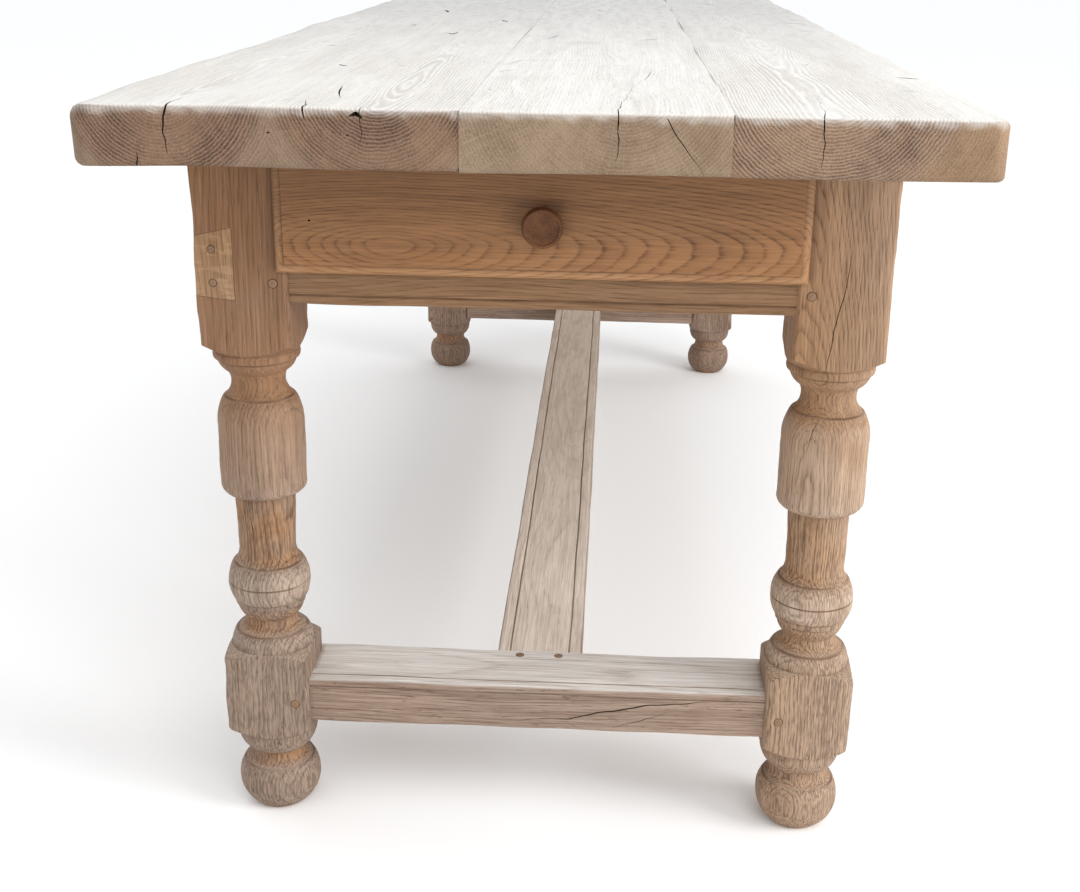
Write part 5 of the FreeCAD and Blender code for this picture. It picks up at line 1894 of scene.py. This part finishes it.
@dataclass
class Drawer:
    """Lipped drawer front with a quirked edge, and its turned knob."""

    lip_width: float = 8 * MM
    lip_fall: float = 4.2 * MM
    step_fall: float = 1.3 * MM
    step_width: float = 0.9 * MM
    lip_depth: float = 10 * MM
    plug_half: float = 237 * MM
    plug_low: float = 610.3 * MM
    field_step: float = 8 * MM
    knob_radius: float = 19 * MM
    knob_length: float = 27 * MM
    spigot_radius: float = 7 * MM
    spigot_gap: float = 0.1 * MM
    knob_sides: int = 96
    smudge_shift: tuple[float, float] = (6 * MM, 2 * MM)
    smudge_reach: tuple[float, float] = (-30 * MM, -14 * MM)
    shade_levels: tuple[float, float] = (0.60, 0.725)
    # Strength of the painted highlight along the lip.
    lip_highlight: float = 0.32

    EDGE_LINES = (
        0, 0.06, 0.24, 0.55, 1.0, 1.6, 2.4, 3.4, 4.6, 6, 7.2, 7.8, 8.0, 8.2, 8.45, 8.7, 8.9, 9.2, 11, 15)

    def lines(self, low: float, high: float) -> np.ndarray:
        """Spaces the grid lines of the front, close together at its edges.

        Args:
            low: Lower limit.
            high: Upper limit.

        Returns:
            Places of the lines.
        """
        edge = np.array(self.EDGE_LINES) * MM
        inner_low, inner_high = low + edge[-1], high - edge[-1]
        count = round((inner_high - inner_low) / self.field_step)
        inner = np.linspace(inner_low, inner_high, count + 1)
        return np.concatenate([low + edge[:-1], inner, (high - edge[:-1])[::-1]])

    def relief(self, gap: np.ndarray) -> np.ndarray:
        """Follows the moulding of the edge.

        Args:
            gap: Distance from the nearest edge.

        Returns:
            Depth of the moulding.
        """
        inset = np.clip(1.0 - gap / self.lip_width, 0.0, 1.0)
        rounded = self.lip_fall * (1.0 - np.sqrt(1.0 - inset ** 2))
        return rounded + self.step_fall * (1.0 - ease(gap, self.lip_width, self.lip_width + self.step_width))

    def front(self) -> bpy.types.Object:
        """Models the front with its moulded lip and the part that fills the opening.

        Returns:
            The front, not yet cut for the sides and the knob.
        """
        low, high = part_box("drawer_front")
        xs, zs = self.lines(low.x, high.x), self.lines(low.z, high.z)
        grid_x, grid_z = np.meshgrid(xs, zs, indexing="ij")
        sides = np.minimum(grid_x - low.x, high.x - grid_x)
        gap = np.minimum(sides, np.minimum(grid_z - low.z, high.z - grid_z))
        face = np.stack([grid_x, low.y + self.relief(gap), grid_z], axis=-1)
        wavy = Wobble(121, 0.3 * MM, 0.12).at(face) * ease(gap, 0.0, 20 * MM)
        face[..., 1] += 0.3 * MM + wavy
        wide, tall = len(xs), len(zs)
        number = np.arange(wide * tall).reshape(wide, tall)
        faces = [number[:-1, :-1], number[1:, :-1], number[1:, 1:], number[:-1, 1:]]
        faces = np.stack(faces, axis=-1).reshape(-1, 4).tolist()
        rim = np.concatenate([number[:, 0], number[-1, 1:], number[-2::-1, -1], number[0, -2:0:-1]])
        points = face.reshape(-1, 3)
        outline = points[rim]
        step = np.empty_like(outline)
        step[:, 0] = outline[:, 0] * self.plug_half / high.x
        step[:, 2] = self.plug_low + (outline[:, 2] - low.z) * (high.z - self.plug_low) / (high.z - low.z)
        rings = [rim]
        for ring, y in ((outline, low.y + self.lip_depth), (step, low.y + self.lip_depth), (step, high.y)):
            moved = ring.copy()
            moved[:, 1] = y
            rings.append(np.arange(len(points), len(points) + len(moved)))
            points = np.concatenate([points, moved])
        for near, away in zip(rings, rings[1:]):
            faces += np.stack([near, np.roll(near, -1), np.roll(away, -1), away], axis=-1).tolist()
        faces.append(rings[-1].tolist())
        return model("drawer_face", points, faces)

    def lathe(self, name: str, rows: np.ndarray, x: float, z: float) -> bpy.types.Object:
        """Spins an outline about the drawer's line of travel.

        Args:
            name: Name of the object.
            rows: Radius and y of each row.
            x: Sideways place of the axis.
            z: Height of the axis.

        Returns:
            The turned object.
        """
        angles = np.arange(self.knob_sides) / self.knob_sides * math.tau
        rings = np.stack([
            x + rows[:, :1] * np.cos(angles), np.broadcast_to(rows[:, 1:], (len(rows), self.knob_sides)),
            z + rows[:, :1] * np.sin(angles),
        ], axis=-1)
        return model(name, *loft(rings))

    def build(self) -> None:
        """Builds the front and the knob."""
        low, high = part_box("drawer_front")
        knob_low, knob_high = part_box("drawer_knob")
        x, z = 0.5 * (knob_low.x + knob_high.x), 0.5 * (knob_low.z + knob_high.z)
        front = self.front()
        wide = self.spigot_radius + self.spigot_gap
        bore = self.lathe("bore", np.array([(wide, low.y - 5 * MM), (wide, high.y + 5 * MM)]), x, z)
        nail = pit((-0.2127, low.y - 1 * MM, 0.6527), (0.0, 1.0, 0.0), 2.4 * MM, 122)
        cut(front, [node_copy("drawer_side_left"), node_copy("drawer_side_right"), bore])
        cut(front, [nail.blade()])
        Ageing(wear=0.7, grime=0.45).paint(front)
        self.smudge_and_shade(front, x, z)
        self.paint_lip_shade_and_highlight(front)
        install(front, DRAWER_OAK.material(), Body.DRAWER, Slot.DRAWER, "drawer_front")
        outline = turned(KNOB, self.knob_radius, 0.0, self.knob_length, 0.5 * MM)
        outline[:, 1] = low.y - outline[:, 1]
        spigot = np.array([
            (0.3 * MM, knob_high.y), (self.spigot_radius - 0.5 * MM, knob_high.y),
            (self.spigot_radius, knob_high.y - 0.5 * MM), (self.spigot_radius, low.y + 0.4 * MM),
            (0.6 * self.knob_radius, low.y + 0.35 * MM),
        ])
        knob = self.lathe("pull_knob", np.concatenate([spigot, outline[1:]]), x, z)
        Ageing(wear=0.8, grime=0.8).paint(knob)
        install(knob, KNOB_OAK.material(), Body.DRAWER, Slot.KNOB, "drawer_knob")

    def smudge_and_shade(self, front: bpy.types.Object, x: float, z: float) -> None:
        """Darkens the front around the knob, where hands reach it, and paints shade that grows towards its
        top, under the overhang of the table top.

        Args:
            front: Drawer front.
            x: Sideways place of the knob.
            z: Height of the knob.
        """
        places = numbers(front.data.vertices, "co", 3)
        aside = (places[:, 0] - x + self.smudge_shift[0]) / 1.3
        above = places[:, 2] - z - self.smudge_shift[1]
        distance = np.hypot(aside, above)
        cloud = 0.5 * ease(-distance, *self.smudge_reach) * (1 + Wobble(131, 0.35, 0.02).at(places))
        # Painted shade: the front is darker towards its top, as under the overhang of the table top; this
        # shares the dark layer with the hand smudge.
        shade = 0.34 * ease(places[:, 2], *self.shade_levels)
        Ageing.deepen(front, np.maximum(np.clip(cloud, 0.0, 0.6), shade))

    def paint_lip_shade_and_highlight(self, front: bpy.types.Object) -> None:
        """Paints shade into the groove inside the lip and a highlight along the lip.

        Args:
            front: Drawer front.
        """
        low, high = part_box("drawer_front")
        places = numbers(front.data.vertices, "co", 3)
        sides = np.minimum(places[:, 0] - low.x, high.x - places[:, 0])
        gap = np.minimum(sides, places[:, 2] - low.z)
        shown = ease(-places[:, 1], -low.y - 8 * MM, -low.y - 6 * MM)
        uneven = 1 + Wobble(141, 0.25, 0.03).at(places)
        # Painted shade: a thin dark line in the groove inside the lip, where the step faces away from the
        # light.
        groove = np.exp(-((gap - self.lip_width - 0.3 * MM) / (0.6 * MM)) ** 2)
        Ageing.deepen(front, np.clip(0.62 * shown * groove * uneven, 0.0, 0.9))
        # Painted highlight: a paler band along the rounded lip, written into the bleach layer in place of any
        # bleach.
        bead = np.exp(-((gap - 0.5 * self.lip_width) / (2.4 * MM)) ** 2)
        Ageing.write(front.data, "bleach", np.clip(self.lip_highlight * shown * bead * uneven, 0.0, 1.0))


@dataclass
class PinRows:
    """Cleft pegs set by one Geometry Nodes tree, with a crowned and faceted head."""

    facets: int = 11
    taper: float = 0.94
    crown: float = 0.5 * MM
    proud: float = 0.35 * MM
    seed: int = 7

    def tree(self) -> bpy.types.NodeTree:
        """Builds the tree that sets one pin on every point.

        Returns:
            The tree.
        """
        tree = bpy.data.node_groups.new("driven_pins", "GeometryNodeTree")
        kinds = {
            "Points": "Geometry", "Radius": "Float", "Length": "Float", "Crown": "Float", "Facets": "Int",
            "Seed": "Int", "Finish": "Material",
        }
        for name, kind in kinds.items():
            tree.interface.new_socket(name, in_out="INPUT", socket_type="NodeSocket" + kind)
        tree.interface.new_socket("Pins", in_out="OUTPUT", socket_type="NodeSocketGeometry")
        wires = Wiring(tree)
        add, calc = wires.add, wires.calc
        given = add("NodeGroupInput", {})
        radius = given["Radius"]
        pin = add("GeometryNodeMeshCone", {
            "Vertices": given["Facets"], "Side Segments": 6, "Fill Segments": 4, "Depth": given["Length"],
            "Radius Top": calc("MULTIPLY", radius, self.taper), "Radius Bottom": radius,
        }, fill_type="TRIANGLE_FAN")
        x, y, _ = add("ShaderNodeSeparateXYZ", {0: add("GeometryNodeInputPosition", {})[0]})
        square = calc("ADD", calc("MULTIPLY", x, x), calc("MULTIPLY", y, y))
        fall = calc("DIVIDE", square, calc("MULTIPLY", radius, radius))
        rise = wires.pack(0.0, 0.0, calc("MULTIPLY", calc("SUBTRACT", 1.0, fall), given["Crown"]))
        dome = add("GeometryNodeSetPosition", {
            "Geometry": pin["Mesh"], "Selection": pin["Top"], "Offset": rise})
        aim = add("GeometryNodeInputNamedAttribute", {"Name": "aim"}, data_type="FLOAT_VECTOR")
        align = add("FunctionNodeAlignRotationToVector", {"Vector": aim["Attribute"]}, axis="Z")
        chance = add("FunctionNodeRandomValue", {3: math.tau, "Seed": given["Seed"]}, data_type="FLOAT")
        spin = add("FunctionNodeAxisAngleToRotation", {"Angle": chance[1]})
        turn = add("FunctionNodeRotateRotation", {
            "Rotation": align["Rotation"], "Rotate By": spin["Rotation"]}, rotation_space="LOCAL")
        rows = add("GeometryNodeInstanceOnPoints", {
            "Points": given["Points"], "Instance": dome["Geometry"], "Rotation": turn["Rotation"]})
        real = add("GeometryNodeRealizeInstances", {"Geometry": rows["Instances"]})
        dressed = add("GeometryNodeSetMaterial", {"Geometry": real["Geometry"], "Material": given["Finish"]})
        add("NodeGroupOutput", {"Pins": dressed["Geometry"]})
        return tree

    def build(self) -> None:
        """Sets every row of pegs."""
        tree = self.tree()
        inputs = {item.name: item.identifier for item in tree.interface.items_tree if item.in_out == "INPUT"}
        finish = PEG_OAK.material()
        for index, node in enumerate(PEG_ROWS):
            boxes = solids_of(node)
            sides = boxes[0][1] - boxes[0][0]
            axis = longest(sides)
            points, aims = [], []
            for low, high in boxes:
                middle = 0.5 * (low + high)
                aim = Vector((0.0, 0.0, 0.0))
                aim[axis] = math.copysign(1.0, middle[axis])
                points.append(middle + aim * (self.proud - 0.5 * sides[axis]))
                aims.append(aim)
            name = node.replace("_pegs", "_pins")
            mesh = bpy.data.meshes.new(name)
            mesh.from_pydata(points, [], [])
            layer = mesh.attributes.new("aim", "FLOAT_VECTOR", "POINT")
            layer.data.foreach_set("vector", np.array(aims, dtype=np.float32).ravel())
            piece = put(name, mesh)
            modifier = piece.modifiers.new("pins", "NODES")
            modifier.node_group = tree
            values = {
                "Radius": 0.5 * sides[(axis + 1) % 3], "Length": sides[axis], "Crown": self.crown,
                "Facets": self.facets, "Seed": self.seed + index, "Finish": finish,
            }
            for label, value in values.items():
                modifier[inputs[label]] = value
            settle(piece)
            piece.data.materials.clear()
            Ageing(wear=0.6).paint(piece)
            install(piece, finish, Body.TABLE, Slot.PEG, node)


@dataclass
class HiddenWork:
    """Nodes whose plain shape is right: inner wood and iron, which only take a finish."""

    def build(self) -> None:
        """Gives the remaining nodes their materials."""
        woods = []
        for axis in Axis:
            name = "inner_wood_" + axis.name.lower()
            woods.append(replace(INNER_WOOD, name=name, grain=axis, seed=3.0 + axis.value).material())
        iron = Iron().material()
        for name in sorted(frame["nodes"]):
            node = bpy.data.objects[name]
            if node.hide_render:
                continue
            low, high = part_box(name)
            finish = woods[longest(high - low)]
            if name.endswith(("_nails", "_screws")):
                finish = iron
            if not node.material_slots:
                node.data.materials.append(finish)
            for slot in node.material_slots:
                slot.material = finish
            LOG.info("%s: node of the frame in %s", name, finish.name)


@dataclass
class Studio:
    """Pale floor, soft lights and the camera."""

    floor_size: float = 90.0
    floor_colour: Colour = (0.985, 0.985, 0.985)
    floor_speck: float = 0.985
    sky_colour: Colour = (0.98, 0.99, 1.0)
    sky_strength: float = 1.02
    eye: Point = (0.0658, -2.1799, 0.9098)
    right: Point = (0.998507, 0.05335, 0.011744)
    down: Point = (0.029285, -0.341281, -0.939505)
    ahead: Point = (-0.046115, 0.938446, -0.342334)
    focal: float = 1428.7
    frame_width: float = 1080.0
    sensor: float = 36.0

    def floor(self) -> None:
        """Lays the floor."""
        half = 0.5 * self.floor_size
        corners = np.array([(-half, -half, 0.0), (half, -half, 0.0), (half, half, 0.0), (-half, half, 0.0)])
        floor = model("studio_floor", corners, [[0, 1, 2, 3]])
        wires = Paint("studio_paper")
        paper = wires.noise(wires.pack(*wires.place()), 240.0, 3.0)
        speck = tuple(self.floor_speck * value for value in self.floor_colour)
        wires.shade("Base Color", wires.mix(paper, self.floor_colour, speck))
        wires.shade("Roughness", 0.9)
        wires.shade("Specular IOR Level", 0.1)
        floor.data.materials.append(wires.material)

    def lamp(self, name: str, place: Point, target: Point, size: tuple[float, float], power: float) -> None:
        """Hangs a soft light.

        Args:
            name: Name of the light.
            place: Where it hangs.
            target: Where it points.
            size: Width and length.
            power: Power in watts.
        """
        data = bpy.data.lights.new(name, "AREA")
        data.shape = "RECTANGLE"
        data.size, data.size_y = size
        data.energy = power
        lamp = put(name, data)
        lamp.location = place
        lamp.rotation_euler = (Vector(target) - Vector(place)).to_track_quat("-Z", "Y").to_euler()

    def build(self) -> None:
        """Sets up the floor, the lights, the sky and the camera."""
        scene = bpy.context.scene
        scene.view_settings.view_transform = "Standard"
        self.floor()
        self.lamp("key_light", (1.5, -4.0, 4.0), (0.0, -0.5, 0.3), (2.6, 2.6), 52.0)
        self.lamp("side_light", (3.5, -1.9, 1.6), (0.2, -0.7, 0.4), (1.7, 1.7), 105.0)
        world = bpy.data.worlds.new("studio_sky")
        world.use_nodes = True
        sky = world.node_tree.nodes["Background"]
        sky.inputs["Color"].default_value = (*self.sky_colour, 1.0)
        sky.inputs["Strength"].default_value = self.sky_strength
        scene.world = world
        data = bpy.data.cameras.new("camera")
        data.sensor_width = self.sensor
        data.lens = self.focal / self.frame_width * self.sensor
        camera = put("camera", data)
        turn = Matrix((self.right, -Vector(self.down), -Vector(self.ahead))).transposed()
        camera.matrix_world = Matrix.Translation(self.eye) @ turn.to_4x4()
        scene.camera = camera


def main() -> None:
    """Builds the table in order and reports each piece."""
    logging.basicConfig(level=logging.INFO, format="%(name)s: %(message)s")
    for assembly in (Studio(), PlankTop(), LegSet(), Understructure(), Drawer(), PinRows(), HiddenWork()):
        assembly.build()


if __name__ == "__main__":
    main()
